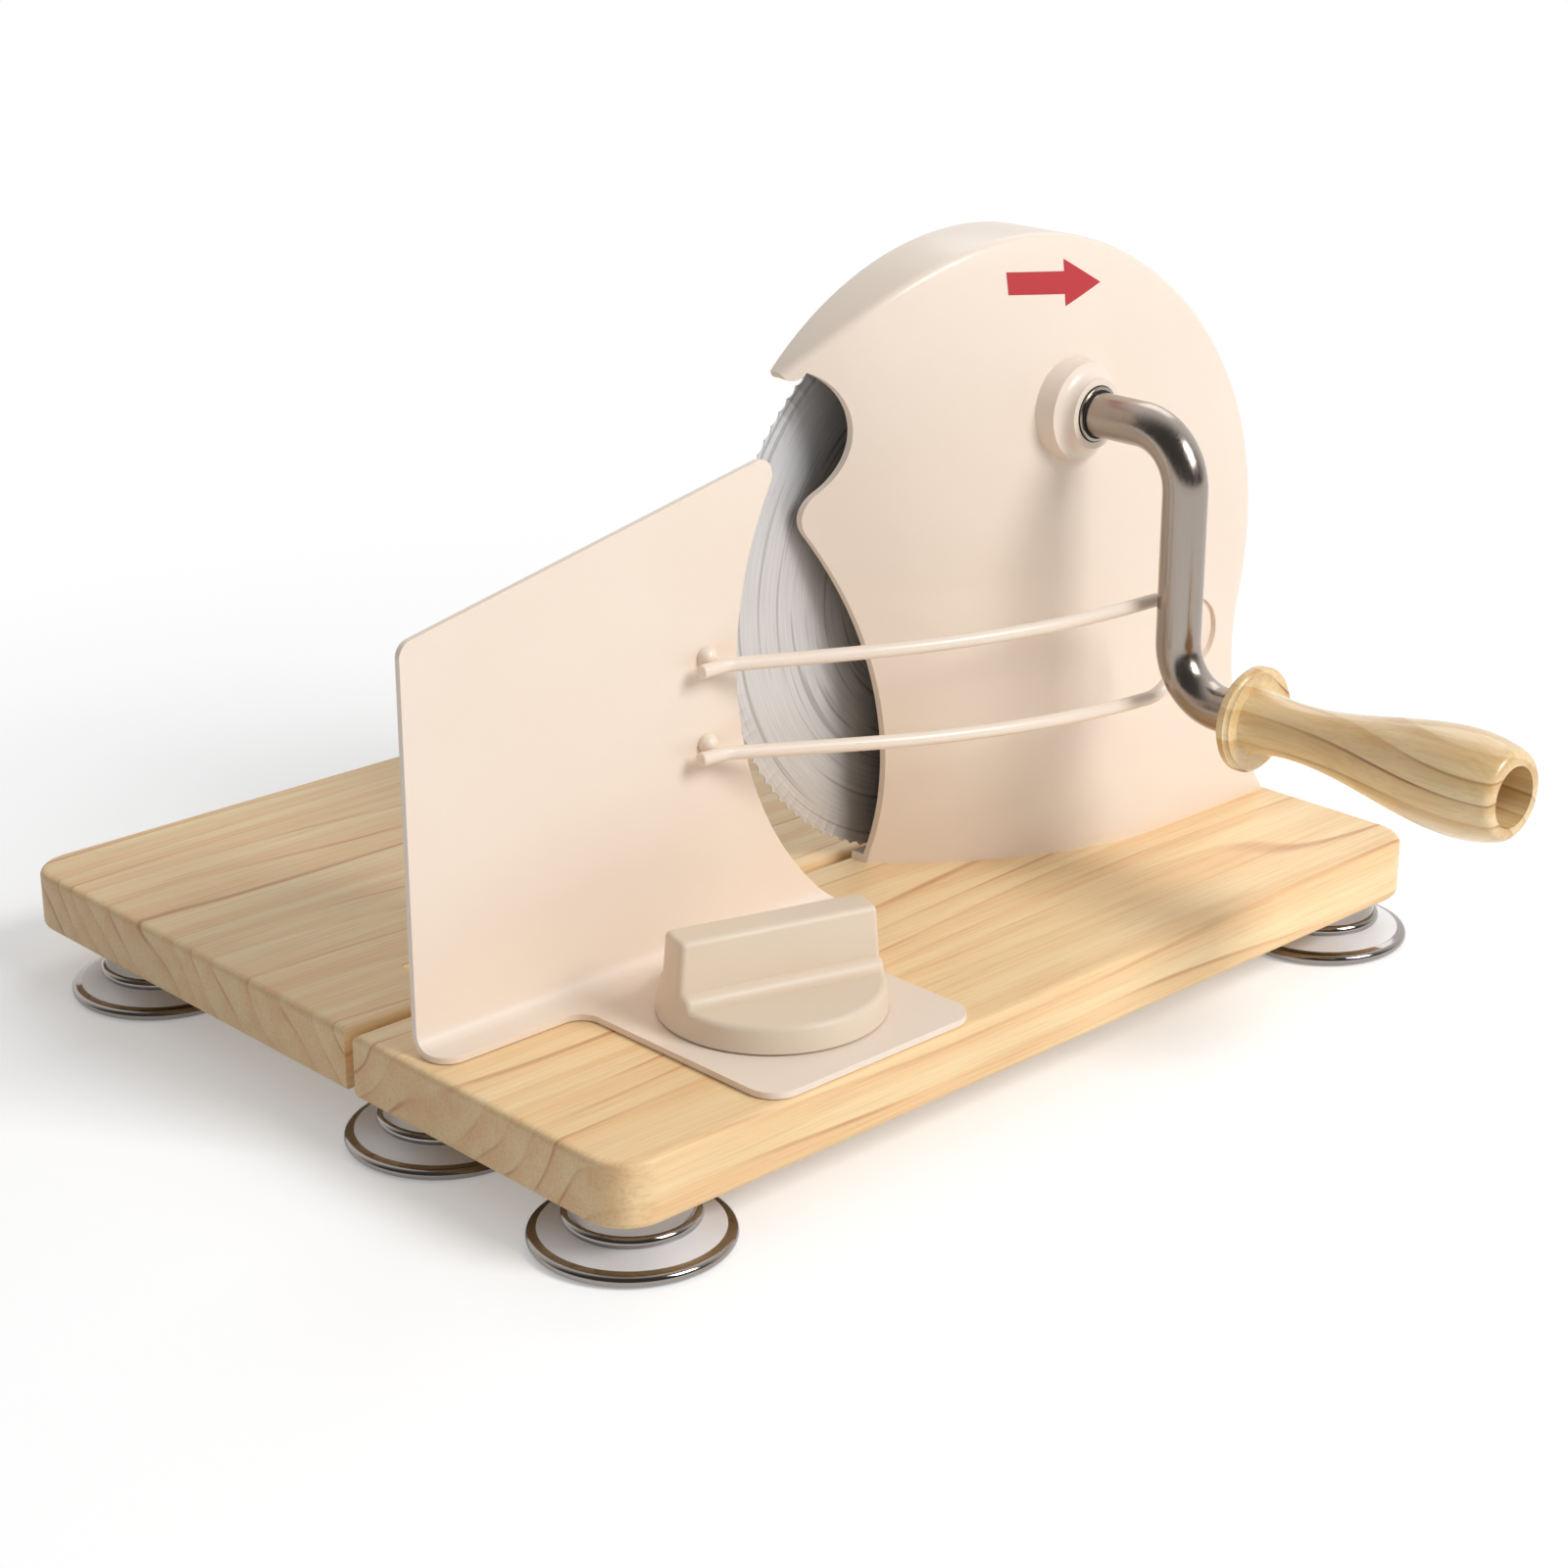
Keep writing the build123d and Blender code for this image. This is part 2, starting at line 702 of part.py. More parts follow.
def blade_cutaway():
    """Region left of the casing where the blade lies open: under the beak and down to the board."""
    dome_z = casing_height - casing_dome_radius
    tip_z = casing_height - beak_tip_drop
    tip = (casing_apex_x - sqrt(casing_dome_radius ** 2 - (tip_z - dome_z) ** 2), tip_z)
    cusp = (notch_x + beak_cusp_from_notch, notch_z + sqrt(notch_radius ** 2 - beak_cusp_from_notch ** 2))
    end_angle = radians(notch_end_angle)
    hook_start = (notch_x + notch_radius * cos(end_angle), notch_z + notch_radius * sin(end_angle))
    hook_end = (hook_start[0] - notch_hook_run, hook_start[1] - notch_hook_drop)
    foot = (casing_left_foot_x, 0)
    notch = ThreePointArc(cusp, (notch_x + notch_radius, notch_z), hook_start)
    hook = TangentArc(hook_start, hook_end, tangent=notch % 1)
    side = TangentArc(hook_end, foot, tangent=hook % 1)
    far_x = casing_dome_x - casing_margin
    edges = [
        Line((far_x, tip[1]), tip),
        ThreePointArc(tip, ((tip[0] + cusp[0]) / 2, tip_z - beak_bulge), cusp),
        notch,
        hook,
        side,
        Line(foot, (foot[0], -casing_margin)),
        Line((foot[0], -casing_margin), (far_x, -casing_margin)),
        Line((far_x, -casing_margin), (far_x, tip[1])),
    ]
    return make_face(edges)


def cover_cutaway():
    """What the gear cover leaves free on its left side, where the blade can be seen."""
    reach = notch_radius + cover_setback
    far_x = casing_dome_x - casing_margin
    side = make_face(Polyline(
        (far_x, -casing_margin),
        (casing_left_foot_x + cover_setback, -casing_margin),
        (notch_x + reach, notch_z),
        (notch_x, notch_z + reach),
        (far_x, notch_z + reach),
        close=True,
    ))
    return side + Pos(notch_x, notch_z) * Circle(reach)


def cover_post_places():
    """Posts inside the casing that carry the gear cover, clear of both gears."""
    gear_reach = gear_module * (crank_gear_teeth / 2 + 1) + cover_post_clearance
    pinion_reach = gear_module * (pinion_teeth / 2 + 1) + 2.4 * cover_post_clearance
    left, right, low = radians(155), radians(2), radians(248)
    return [
        (crank_x + gear_reach * cos(left), crank_z + gear_reach * sin(left)),
        (crank_x + gear_reach * cos(right), crank_z + gear_reach * sin(right)),
        (blade_centre_x + pinion_reach * cos(low), blade_centre_z + pinion_reach * sin(low)),
    ]


def crank_boss():
    """Boss of the crank bush, turned about the crank's axis."""
    round_r = boss_radius - boss_edge_radius
    skirt_y = boss_face_y + boss_skirt
    inner_r = bush_radius + boss_wall
    outline = [
        Line((0, boss_face_y), (round_r, boss_face_y)),
        RadiusArc((round_r, boss_face_y), (boss_radius, boss_face_y + boss_edge_radius), boss_edge_radius),
        Line((boss_radius, boss_face_y + boss_edge_radius), (boss_base_radius, skirt_y)),
        Line((boss_base_radius, skirt_y), (inner_r, skirt_y)),
        Line((inner_r, skirt_y), (inner_r, bush_end_y)),
        Line((inner_r, bush_end_y), (0, bush_end_y)),
        Line((0, bush_end_y), (0, boss_face_y)),
    ]
    return Pos(crank_x, 0, crank_z) * revolve(make_face(outline), Axis.Y, 360)


def casing_shell():
    """Casing: bowed front wall and rim in one shell, open at the back and beside the blade."""
    outline = casing_envelope(0) - blade_cutaway()
    outer = front_body(0) & y_prism(outline, 0, casing_back_y)
    rim_line = casing_envelope(0).face().outer_wire()
    front_rim = [
        edge for edge in outer.edges()
        if max((edge @ 0).Y, (edge @ 1).Y) < casing_back_y - casing_wall / 4
        and min((edge @ 0).Z, (edge @ 1).Z) > casing_foot_height - casing_wall / 4
        and edge.length > casing_edge_radius
        and rim_line.distance_to(Vertex((edge @ 0.5).X, (edge @ 0.5).Z, 0)) < running_clearance
    ]
    outer = fillet(front_rim, casing_edge_radius)
    inner = front_body(casing_wall) & y_prism(casing_envelope(casing_wall), 0, casing_back_y + casing_wall)
    shell = outer - inner
    posts = y_cylinder(axle_post_radius, 0, axle_post_end_y, blade_centre_x, blade_centre_z)
    posts += y_cylinder(recess_radius + casing_wall, 0, recess_floor_y + casing_wall, recess_x, recess_z)
    for x, z in cover_post_places():
        posts += y_cylinder(cover_post_radius, 0, cover_front_y, x, z)
    for x in casing_screw_xs:
        posts += z_cylinder(casing_screw_head_radius, 0, casing_boss_height, x, casing_screw_y)
    shell += posts & outer
    shell += crank_boss()
    shell -= y_cylinder(bush_radius, 0, casing_back_y, crank_x, crank_z)
    shell -= y_cylinder(axle_radius, axle_start_y, casing_back_y, blade_centre_x, blade_centre_z)
    shell -= y_cylinder(recess_radius, 0, recess_floor_y, recess_x, recess_z)
    for x, z in cover_post_places():
        shell -= y_cylinder(cover_screw_radius, cover_front_y - cover_screw_length, casing_back_y, x, z)
    for x in casing_screw_xs:
        shell -= z_cylinder(casing_screw_radius, 0, casing_boss_height, x, casing_screw_y)
    return shell


def gear_cover():
    """Plate that closes the gear space behind the front wall."""
    outline = casing_envelope(casing_wall + cover_clearance) - cover_cutaway()
    cover = y_prism(outline, cover_front_y, cover_back_y)
    cover -= y_cylinder(hub_radius + moving_clearance, 0, casing_back_y, blade_centre_x, blade_centre_z)
    for x, z in cover_post_places():
        cover -= y_cylinder(cover_screw_radius, 0, casing_back_y, x, z)
    return cover


def cover_screw(x, z):
    """Screw that holds the gear cover to its post."""
    head = y_cylinder(cover_screw_head_radius, cover_back_y, cover_back_y + cover_screw_head_height, x, z)
    return head + y_cylinder(cover_screw_radius, cover_front_y - cover_screw_length, cover_back_y, x, z)


def casing_screw(x):
    """Screw from below that holds the casing to the front board."""
    head_top = casing_screw_recess - board_thickness
    head_low = head_top - casing_screw_head_height
    head = z_cylinder(casing_screw_head_radius, head_low, head_top, x, casing_screw_y)
    return head + z_cylinder(casing_screw_radius, head_top, casing_boss_height, x, casing_screw_y)


# ---------------------------------------------------------------- gear train and blade
def crank_gear():
    """Gear on the inner end of the crank."""
    mesh_angle = atan2(blade_centre_z - crank_z, blade_centre_x - crank_x)
    teeth = gear_face(crank_gear_teeth, gear_module, mesh_angle, gear_backlash)
    gear = y_prism(Pos(crank_x, crank_z) * teeth, gear_front_y, gear_back_y)
    hub_r = crank_rod_radius + gear_hub_wall
    gear += y_cylinder(hub_r, gear_front_y - gear_shoulder, gear_back_y, crank_x, crank_z)
    return gear - crank_seat()


def crank_seat():
    """Flatted end of the crank that the gear sits on."""
    seat_y = gear_front_y - gear_shoulder
    reach = 2 * crank_rod_radius
    flat_x = crank_x + crank_rod_radius - crank_flat_depth
    seat = y_cylinder(crank_rod_radius, seat_y, gear_back_y, crank_x, crank_z)
    return seat - box(flat_x, flat_x + reach, seat_y, gear_back_y, crank_z - reach, crank_z + reach)


def blade_pinion():
    """Pinion with the hub that carries the blade, running on the fixed axle."""
    mesh_angle = atan2(crank_z - blade_centre_z, crank_x - blade_centre_x) + pi / pinion_teeth
    teeth = gear_face(pinion_teeth, gear_module, mesh_angle, gear_backlash)
    pinion = y_prism(Pos(blade_centre_x, blade_centre_z) * teeth, gear_front_y, gear_back_y)
    pinion += y_cylinder(hub_radius, gear_back_y, blade_front_y, blade_centre_x, blade_centre_z)
    pinion += y_cylinder(
        blade_spigot_radius, blade_front_y, blade_back_y + clamp_thickness, blade_centre_x, blade_centre_z
    )
    pinion -= y_cylinder(axle_radius + running_clearance, 0, base_far_y, blade_centre_x, blade_centre_z)
    for x, z in blade_screw_places():
        pinion -= y_cylinder(blade_screw_radius, blade_back_y - blade_screw_length, blade_front_y, x, z)
    return pinion


def blade_screw_places():
    """Three screws round the blade's centre."""
    return [
        (
            blade_centre_x + blade_screw_circle * cos(2 * pi * index / 3 + pi / 2),
            blade_centre_z + blade_screw_circle * sin(2 * pi * index / 3 + pi / 2),
        )
        for index in range(3)
    ]


def blade_disc():
    """Round blade with a ground edge and a scalloped rim."""
    half = blade_thickness / 2
    half_edge = blade_edge_thickness / 2
    bevel_radius = blade_radius - blade_bevel_width
    section = Polyline(
        (blade_spigot_radius, -half), (bevel_radius, -half), (blade_radius, -half_edge),
        (blade_radius, half_edge), (bevel_radius, half), (blade_spigot_radius, half),
        close=True,
    )
    disc = revolve(make_face(section), Axis.Y, 360)
    disc = Pos(blade_centre_x, (blade_front_y + blade_back_y) / 2, blade_centre_z) * disc
    pitch = 2 * pi / blade_tooth_count
    scallops = [
        ThreePointArc(
            polar(blade_radius, index * pitch),
            polar(blade_radius - blade_tooth_depth, (index + 0.5) * pitch),
            polar(blade_radius, (index + 1) * pitch),
        )
        for index in range(blade_tooth_count)
    ]
    rim = Pos(blade_centre_x, blade_centre_z) * make_face(scallops)
    disc &= y_prism(rim, blade_front_y, blade_back_y)
    for x, z in blade_screw_places():
        disc -= y_cylinder(blade_screw_radius, blade_front_y, blade_back_y, x, z)
    return disc


def blade_screw(x, z):
    """Flat-headed screw through the clamp plate and the blade into the hub."""
    cone = Plane.XZ.offset(-(blade_back_y + clamp_thickness / 2)) * Pos(x, z) * Cone(
        2 * blade_screw_radius, blade_screw_radius, clamp_thickness
    )
    return cone + y_cylinder(blade_screw_radius, blade_back_y - blade_screw_length, blade_back_y, x, z)


def blade_clamp_plate():
    """Round plate that clamps the blade to its hub."""
    plate_end_y = blade_back_y + clamp_thickness
    plate = y_cylinder(hub_radius, blade_back_y, plate_end_y, blade_centre_x, blade_centre_z)
    plate -= y_cylinder(blade_spigot_radius, 0, base_far_y, blade_centre_x, blade_centre_z)
    for x, z in blade_screw_places():
        plate -= blade_screw(x, z)
    return plate


def blade_axle():
    """Fixed axle, pressed into the casing's post."""
    axle = y_cylinder(axle_radius, axle_start_y, axle_end_y, blade_centre_x, blade_centre_z)
    return axle - y_cylinder(
        axle_radius / 2, axle_end_y - axle_screw_length, axle_end_y, blade_centre_x, blade_centre_z
    )


def axle_screw():
    """Screw in the axle's end that keeps the hub on it."""
    head_end_y = axle_end_y + axle_screw_head_height
    head = y_cylinder(axle_screw_head_radius, axle_end_y, head_end_y, blade_centre_x, blade_centre_z)
    return head + y_cylinder(
        axle_radius / 2, axle_end_y - axle_screw_length, axle_end_y, blade_centre_x, blade_centre_z
    )


# ---------------------------------------------------------------- crank and handle
def crank_rod():
    """Bent rod: shaft in the bush, hanging arm, and the pin that the handle turns on."""
    start_y = gear_front_y - gear_shoulder
    top_y = crank_arm_y + crank_bend_radius
    arm_top = crank_z - crank_bend_radius
    arm_low = handle_z + crank_bend_radius
    pin_y = crank_arm_y - crank_bend_radius
    shoulder_y = handle_inner_y + handle_end_play / 2
    quarter = crank_bend_radius * sin(pi / 4)
    path = Wire([
        Line((crank_x, start_y, crank_z), (crank_x, top_y, crank_z)),
        ThreePointArc(
            (crank_x, top_y, crank_z),
            (crank_x, top_y - quarter, arm_top + quarter),
            (crank_x, crank_arm_y, arm_top),
        ),
        Line((crank_x, crank_arm_y, arm_top), (crank_x, crank_arm_y, arm_low)),
        ThreePointArc(
            (crank_x, crank_arm_y, arm_low),
            (crank_x, pin_y + quarter, arm_low - quarter),
            (crank_x, pin_y, handle_z),
        ),
        Line((crank_x, pin_y, handle_z), (crank_x, shoulder_y, handle_z)),
    ])
    start = Plane(origin=(crank_x, start_y, crank_z), z_dir=(0, -1, 0))
    rod = sweep(start * Circle(crank_rod_radius), path=path)
    rod += y_cylinder(crank_pin_radius, crank_pin_end_y, shoulder_y, crank_x, handle_z)
    rod += crank_seat()
    rod -= y_cylinder(crank_screw_radius, gear_back_y - crank_screw_length, gear_back_y, crank_x, crank_z)
    rod -= y_cylinder(
        handle_screw_radius, crank_pin_end_y, crank_pin_end_y + handle_screw_length, crank_x, handle_z
    )
    return rod


def crank_bush():
    """Bush in the casing's boss; its end shows as a ring round the crank."""
    bush = y_cylinder(bush_radius, boss_face_y - bush_flange_height, bush_end_y, crank_x, crank_z)
    front = bush.edges().group_by(Axis.Y)[0]
    bush = fillet(front, bush_flange_height / 2)
    return bush - y_cylinder(crank_rod_radius + running_clearance, 0, gear_back_y, crank_x, crank_z)


def gear_screw():
    """Washer-headed screw that holds the gear on the crank."""
    washer_end_y = gear_back_y + gear_washer_thickness
    head_end_y = washer_end_y + crank_screw_head_height
    tip_y = gear_back_y - crank_screw_length
    head = y_cylinder(crank_rod_radius + gear_washer_overlap, gear_back_y, washer_end_y, crank_x, crank_z)
    head += y_cylinder(crank_screw_head_radius, gear_back_y, head_end_y, crank_x, crank_z)
    return head + y_cylinder(crank_screw_radius, tip_y, gear_back_y, crank_x, crank_z)


def wooden_handle():
    """Turned wooden handle with a collar, a waist, a belly and an open bored end."""
    length = handle_length
    collar_y = length - handle_collar_thickness
    edge = handle_collar_round
    end = handle_end_round
    pin_bore = crank_pin_radius + running_clearance
    outline = [
        Line((pin_bore, length), (handle_collar_radius - edge, length)),
        RadiusArc((handle_collar_radius - edge, length), (handle_collar_radius, length - edge), -edge),
        Line((handle_collar_radius, length - edge), (handle_collar_radius, collar_y + edge)),
        RadiusArc((handle_collar_radius, collar_y + edge), (handle_collar_radius - edge, collar_y), -edge),
        Line((handle_collar_radius - edge, collar_y), (handle_neck_radius, collar_y)),
        Spline(
            (handle_neck_radius, collar_y),
            (handle_waist_radius, length - handle_waist_place),
            (handle_belly_radius, handle_belly_place),
            (handle_end_radius, end),
            tangents=[(-0.4, -1), (-0.3, -1)],
        ),
        Spline(
            (handle_end_radius, end),
            (handle_end_radius - end, 0),
            tangents=[(-0.3, -1), (-1, 0)],
        ),
        Line((handle_end_radius - end, 0), (handle_bore_radius, 0)),
        Line((handle_bore_radius, 0), (handle_bore_radius, handle_bore_depth)),
        Line((handle_bore_radius, handle_bore_depth), (pin_bore, handle_bore_depth)),
        Line((pin_bore, handle_bore_depth), (pin_bore, length)),
    ]
    handle = revolve(make_face(outline), Axis.Y, 360)
    return Pos(crank_x, handle_end_y, handle_z) * handle


def handle_washer():
    """Washer on the crank pin's end, under the handle screw."""
    start_y = crank_pin_end_y - handle_washer_thickness
    washer = y_cylinder(handle_washer_radius, start_y, crank_pin_end_y, crank_x, handle_z)
    return washer - y_cylinder(handle_screw_radius, start_y, crank_pin_end_y, crank_x, handle_z)


def handle_screw():
    """Screw inside the handle's bore that keeps the handle on its pin."""
    seat_y = crank_pin_end_y - handle_washer_thickness
    tip_y = crank_pin_end_y + handle_screw_length
    head = y_cylinder(handle_screw_head_radius, seat_y - handle_screw_head_height, seat_y, crank_x, handle_z)
    return head + y_cylinder(handle_screw_radius, seat_y, tip_y, crank_x, handle_z)


# ---------------------------------------------------------------- guide plate, wire and thickness knob
def guide_key_xs():
    """The two guide keys, each side of the knob's axis."""
    return (knob_x - guide_key_spacing / 2, knob_x + guide_key_spacing / 2)


def hollow_x(z):
    """x of the plate's hollow right edge at a height."""
    return plate_notch_x - sqrt(plate_notch_radius ** 2 - (z - plate_notch_z) ** 2)


def plate_outline():
    """Upright plate seen from the front: sloping top, hollow right edge round the blade."""
    shoulder = (plate_left_x, plate_shoulder_height)
    peak = (hollow_x(plate_peak_height), plate_peak_height)
    foot = (hollow_x(0), 0)
    outline = make_face([
        Line((plate_left_x, 0), shoulder),
        Line(shoulder, peak),
        ThreePointArc(peak, (plate_notch_x - plate_notch_radius, plate_notch_z), foot),
        Line(foot, (plate_left_x, 0)),
    ])
    upper = [corner for corner in outline.vertices() if corner.Y > plate_shoulder_height / 2]
    return fillet(upper, plate_corner_radius)


def plate_plan():
    """Foot of the guide plate seen from above: a narrow flange and the tab under the knob."""
    right_x = hollow_x(0) + flange_overhang
    flange = Pos((plate_left_x + right_x) / 2, (flange_front_y + plate_back_y) / 2) * Rectangle(
        right_x - plate_left_x, plate_back_y - flange_front_y
    )
    tab = Pos((tab_left_x + tab_right_x) / 2, (tab_front_y + plate_back_y) / 2) * Rectangle(
        tab_right_x - tab_left_x, plate_back_y - tab_front_y
    )
    plan = flange + tab
    plan = fillet(plan.vertices().group_by(Axis.Y)[0], tab_corner_radius)
    flange_corners = [
        corner for corner in plan.vertices()
        if abs(corner.Y - flange_front_y) < slide_clearance
    ]
    return fillet(flange_corners, flange_corner_radius)


def rack_slot():
    """Slot in the tab; its right side is cut as a rack."""
    reach = rack_pinion_radius + rack_module + moving_clearance
    low_y = knob_y - guide_travel - reach
    high_y = knob_y + reach
    left_x = knob_x - reach
    pitch_x = knob_x + rack_pinion_radius
    tip_x = pitch_x - rack_module
    root_x = pitch_x + 1.25 * rack_module
    slope = tan(radians(gear_pressure_angle))
    half = rack_pitch / 4 - gear_backlash / 2
    half_tip = half - slope * rack_module
    half_root = half + slope * 1.25 * rack_module
    count = ceil((high_y - low_y) / rack_pitch) + 1
    teeth = []
    for index in range(-count, count):
        y = knob_y + (index + 0.5) * rack_pitch
        if low_y + half_root < y < high_y - half_root:
            flank = (root_x, y - half_root), (tip_x, y - half_tip)
            other_flank = (tip_x, y + half_tip), (root_x, y + half_root)
            teeth.append(Polyline(*flank, *other_flank, close=True))
    slot = Pos((left_x + root_x) / 2, (low_y + high_y) / 2) * Rectangle(root_x - left_x, high_y - low_y)
    for tooth in teeth:
        slot -= make_face(tooth)
    return slot


def guide_plate():
    """Bent sheet: upright plate, foot flange and tab, with the rack slot and rivet holes."""
    outer_bend = plate_bend_radius + sheet_thickness
    bend_y = plate_face_y - plate_bend_radius
    far_z = plate_peak_height + sheet_thickness
    section = make_face([
        Line((plate_face_y, far_z), (plate_face_y, sheet_top + plate_bend_radius)),
        RadiusArc((plate_face_y, sheet_top + plate_bend_radius), (bend_y, sheet_top), plate_bend_radius),
        Line((bend_y, sheet_top), (tab_front_y, sheet_top)),
        Line((tab_front_y, sheet_top), (tab_front_y, sheet_bottom)),
        Line((tab_front_y, sheet_bottom), (bend_y, sheet_bottom)),
        RadiusArc((bend_y, sheet_bottom), (plate_back_y, sheet_bottom + outer_bend), -outer_bend),
        Line((plate_back_y, sheet_bottom + outer_bend), (plate_back_y, far_z)),
        Line((plate_back_y, far_z), (plate_face_y, far_z)),
    ])
    sheet = extrude(Plane.YZ * section, amount=plate_notch_x)
    sheet &= y_prism(plate_outline(), 0, base_far_y)
    sheet &= extrude(plate_plan(), amount=far_z)
    sheet -= extrude(rack_slot(), amount=sheet_top + sheet_thickness)
    for z in (wire_upper_z, wire_lower_z):
        sheet -= y_cylinder(rivet_shank_radius, plate_face_y, plate_back_y, rivet_x, z + rivet_rise)
    return sheet


def guide_key(x):
    """Key under the tab that slides in the board's groove."""
    return box(
        x - guide_key_width / 2, x + guide_key_width / 2,
        guide_key_y, guide_key_y + guide_key_length,
        -guide_key_depth, sheet_bottom,
    )


def wire_rivet(z):
    """Domed rivet that the wire is welded to; its head is hollowed to the wire."""
    dome_radius = (rivet_head_radius ** 2 + rivet_head_height ** 2) / (2 * rivet_head_height)
    rise = z + rivet_rise
    ball = Pos(rivet_x, plate_face_y - rivet_head_height + dome_radius, rise) * Sphere(dome_radius)
    reach = 2 * dome_radius
    head = ball & box(
        rivet_x - reach, rivet_x + reach,
        plate_face_y - reach, plate_face_y,
        rise - reach, rise + reach,
    )
    rivet = head + y_cylinder(rivet_shank_radius, plate_face_y, plate_back_y, rivet_x, rise)
    return rivet - guide_wire()


def wire_half(side_sign):
    """Edges of one wire from its cut end to the turn, in the hairpin's own coordinates."""
    spread = radians(wire_spread_angle)
    bend = radians(wire_bend_angle)
    along = Plane(
        origin=(0, 0, side_sign * (wire_upper_z - wire_lower_z) / 2),
        x_dir=(cos(spread), 0, side_sign * sin(spread)),
        z_dir=(-side_sign * sin(spread), 0, cos(spread)),
    )
    bend_end = wire_straight + wire_bend_radius * sin(bend), -wire_bend_radius * (1 - cos(bend))
    run_end = bend_end[0] + wire_run * cos(bend), bend_end[1] - wire_run * sin(bend)
    reach_end = wire_reach, run_end[1] - (wire_reach - run_end[0]) * tan(bend / 2)
    plan = ((0, 0), (wire_straight, 0), bend_end, run_end, reach_end)
    places = [along.from_local_coords((u, v, 0)) for u, v in plan]
    edges = [Line(places[0], places[1])]
    edges.append(TangentArc(places[1], places[2], tangent=edges[-1] % 1))
    edges.append(Line(places[2], places[3]))
    edges.append(TangentArc(places[3], places[4], tangent=edges[-1] % 1))
    return edges


def guide_wire():
    """One wire bent to a hairpin: two bowed runs in front of the casing, joined by a turn."""
    upper = wire_half(1)
    lower = wire_half(-1)
    turn = TangentArc(upper[-1] @ 1, lower[-1] @ 1, tangent=upper[-1] % 1)
    path = Wire([*upper, turn, *lower])
    start = Plane(origin=upper[0] @ 0, z_dir=upper[0] % 0)
    wire = sweep(start * Circle(wire_radius), path=path)
    cut_ends = [
        edge for edge in wire.edges().filter_by(GeomType.CIRCLE)
        if abs(edge.arc_center.X) < running_clearance
    ]
    wire = fillet(cut_ends, wire_end_round)
    return Pos(wire_start_x, wire_y, wire_middle_z) * Rot(0, wire_droop_angle, 0) * wire


def thickness_knob():
    """Round knob with a bar grip across it: a turned body, scooped out on both sides of the bar."""
    rim = (knob_radius, 0)
    crown = (knob_top_radius, knob_height)
    bore_end = knob_height - knob_crown
    body = revolve(Plane.YZ * make_face([
        Line((knob_stud_radius, 0), rim),
        Line(rim, crown),
        Line(crown, (0, knob_height)),
        Line((0, knob_height), (0, bore_end)),
        Line((0, bore_end), (knob_stud_radius, bore_end)),
        Line((knob_stud_radius, bore_end), (knob_stud_radius, 0)),
    ]), Axis.Z, 360)
    half_grip = knob_grip_width / 2
    far_y = knob_radius + half_grip
    far_z = knob_height + half_grip
    scoop_face = make_face([
        Line((half_grip, far_z), (half_grip, knob_base_height + knob_cove_radius)),
        RadiusArc(
            (half_grip, knob_base_height + knob_cove_radius),
            (half_grip + knob_cove_radius, knob_base_height),
            knob_cove_radius,
        ),
        Line((half_grip + knob_cove_radius, knob_base_height), (far_y, knob_base_height)),
        Line((far_y, knob_base_height), (far_y, far_z)),
        Line((far_y, far_z), (half_grip, far_z)),
    ])
    scoop = extrude(Plane.YZ.offset(-far_y) * scoop_face, amount=2 * far_y)
    knob = body - scoop - Rot(0, 0, 180) * scoop
    soft_edges = [
        edge for edge in knob.edges()
        if (edge @ 0.5).Z > knob_base_height - running_clearance
        and (abs((edge @ 0.5).Z - knob_height) < running_clearance
             or hypot((edge @ 0.5).X, (edge @ 0.5).Y) > knob_top_radius - running_clearance)
    ]
    knob = fillet(soft_edges, knob_edge_radius)
    return Pos(knob_x, knob_y, knob_bottom) * Rot(0, 0, knob_angle) * knob


def knob_pinion():
    """Small gear under the knob that drives the tab's rack."""
    teeth = gear_face(rack_pinion_teeth, rack_module, 0, gear_backlash)
    gear = extrude(Pos(knob_x, knob_y, sheet_bottom) * teeth, amount=knob_bottom - sheet_bottom)
    return gear - z_cylinder(knob_stud_radius, 0, knob_bottom, knob_x, knob_y)


def knob_spindle():
    """Spindle pressed into the knob, turning in the front board."""
    top = knob_bottom + knob_height - knob_crown
    spindle = z_cylinder(knob_stud_radius, knob_screw_seat_z, top, knob_x, knob_y)
    return spindle - z_cylinder(
        knob_stud_radius / 2, knob_screw_seat_z, knob_screw_seat_z + knob_screw_length, knob_x, knob_y
    )


def knob_screw():
    """Washer-headed screw below the board that keeps the spindle down."""
    head_top = knob_screw_seat_z - slide_clearance
    head = z_cylinder(knob_screw_head_radius, head_top - knob_screw_head_height, head_top, knob_x, knob_y)
    neck = z_cylinder(knob_stud_radius, head_top, knob_screw_seat_z, knob_x, knob_y)
    shank_end = knob_screw_seat_z + knob_screw_length
    return head + neck + z_cylinder(knob_stud_radius / 2, knob_screw_seat_z, shank_end, knob_x, knob_y)


# ---------------------------------------------------------------- assembly
def group(solids):
    """Several loose solids of one node."""
    return Compound(children=[solid for solid in solids])


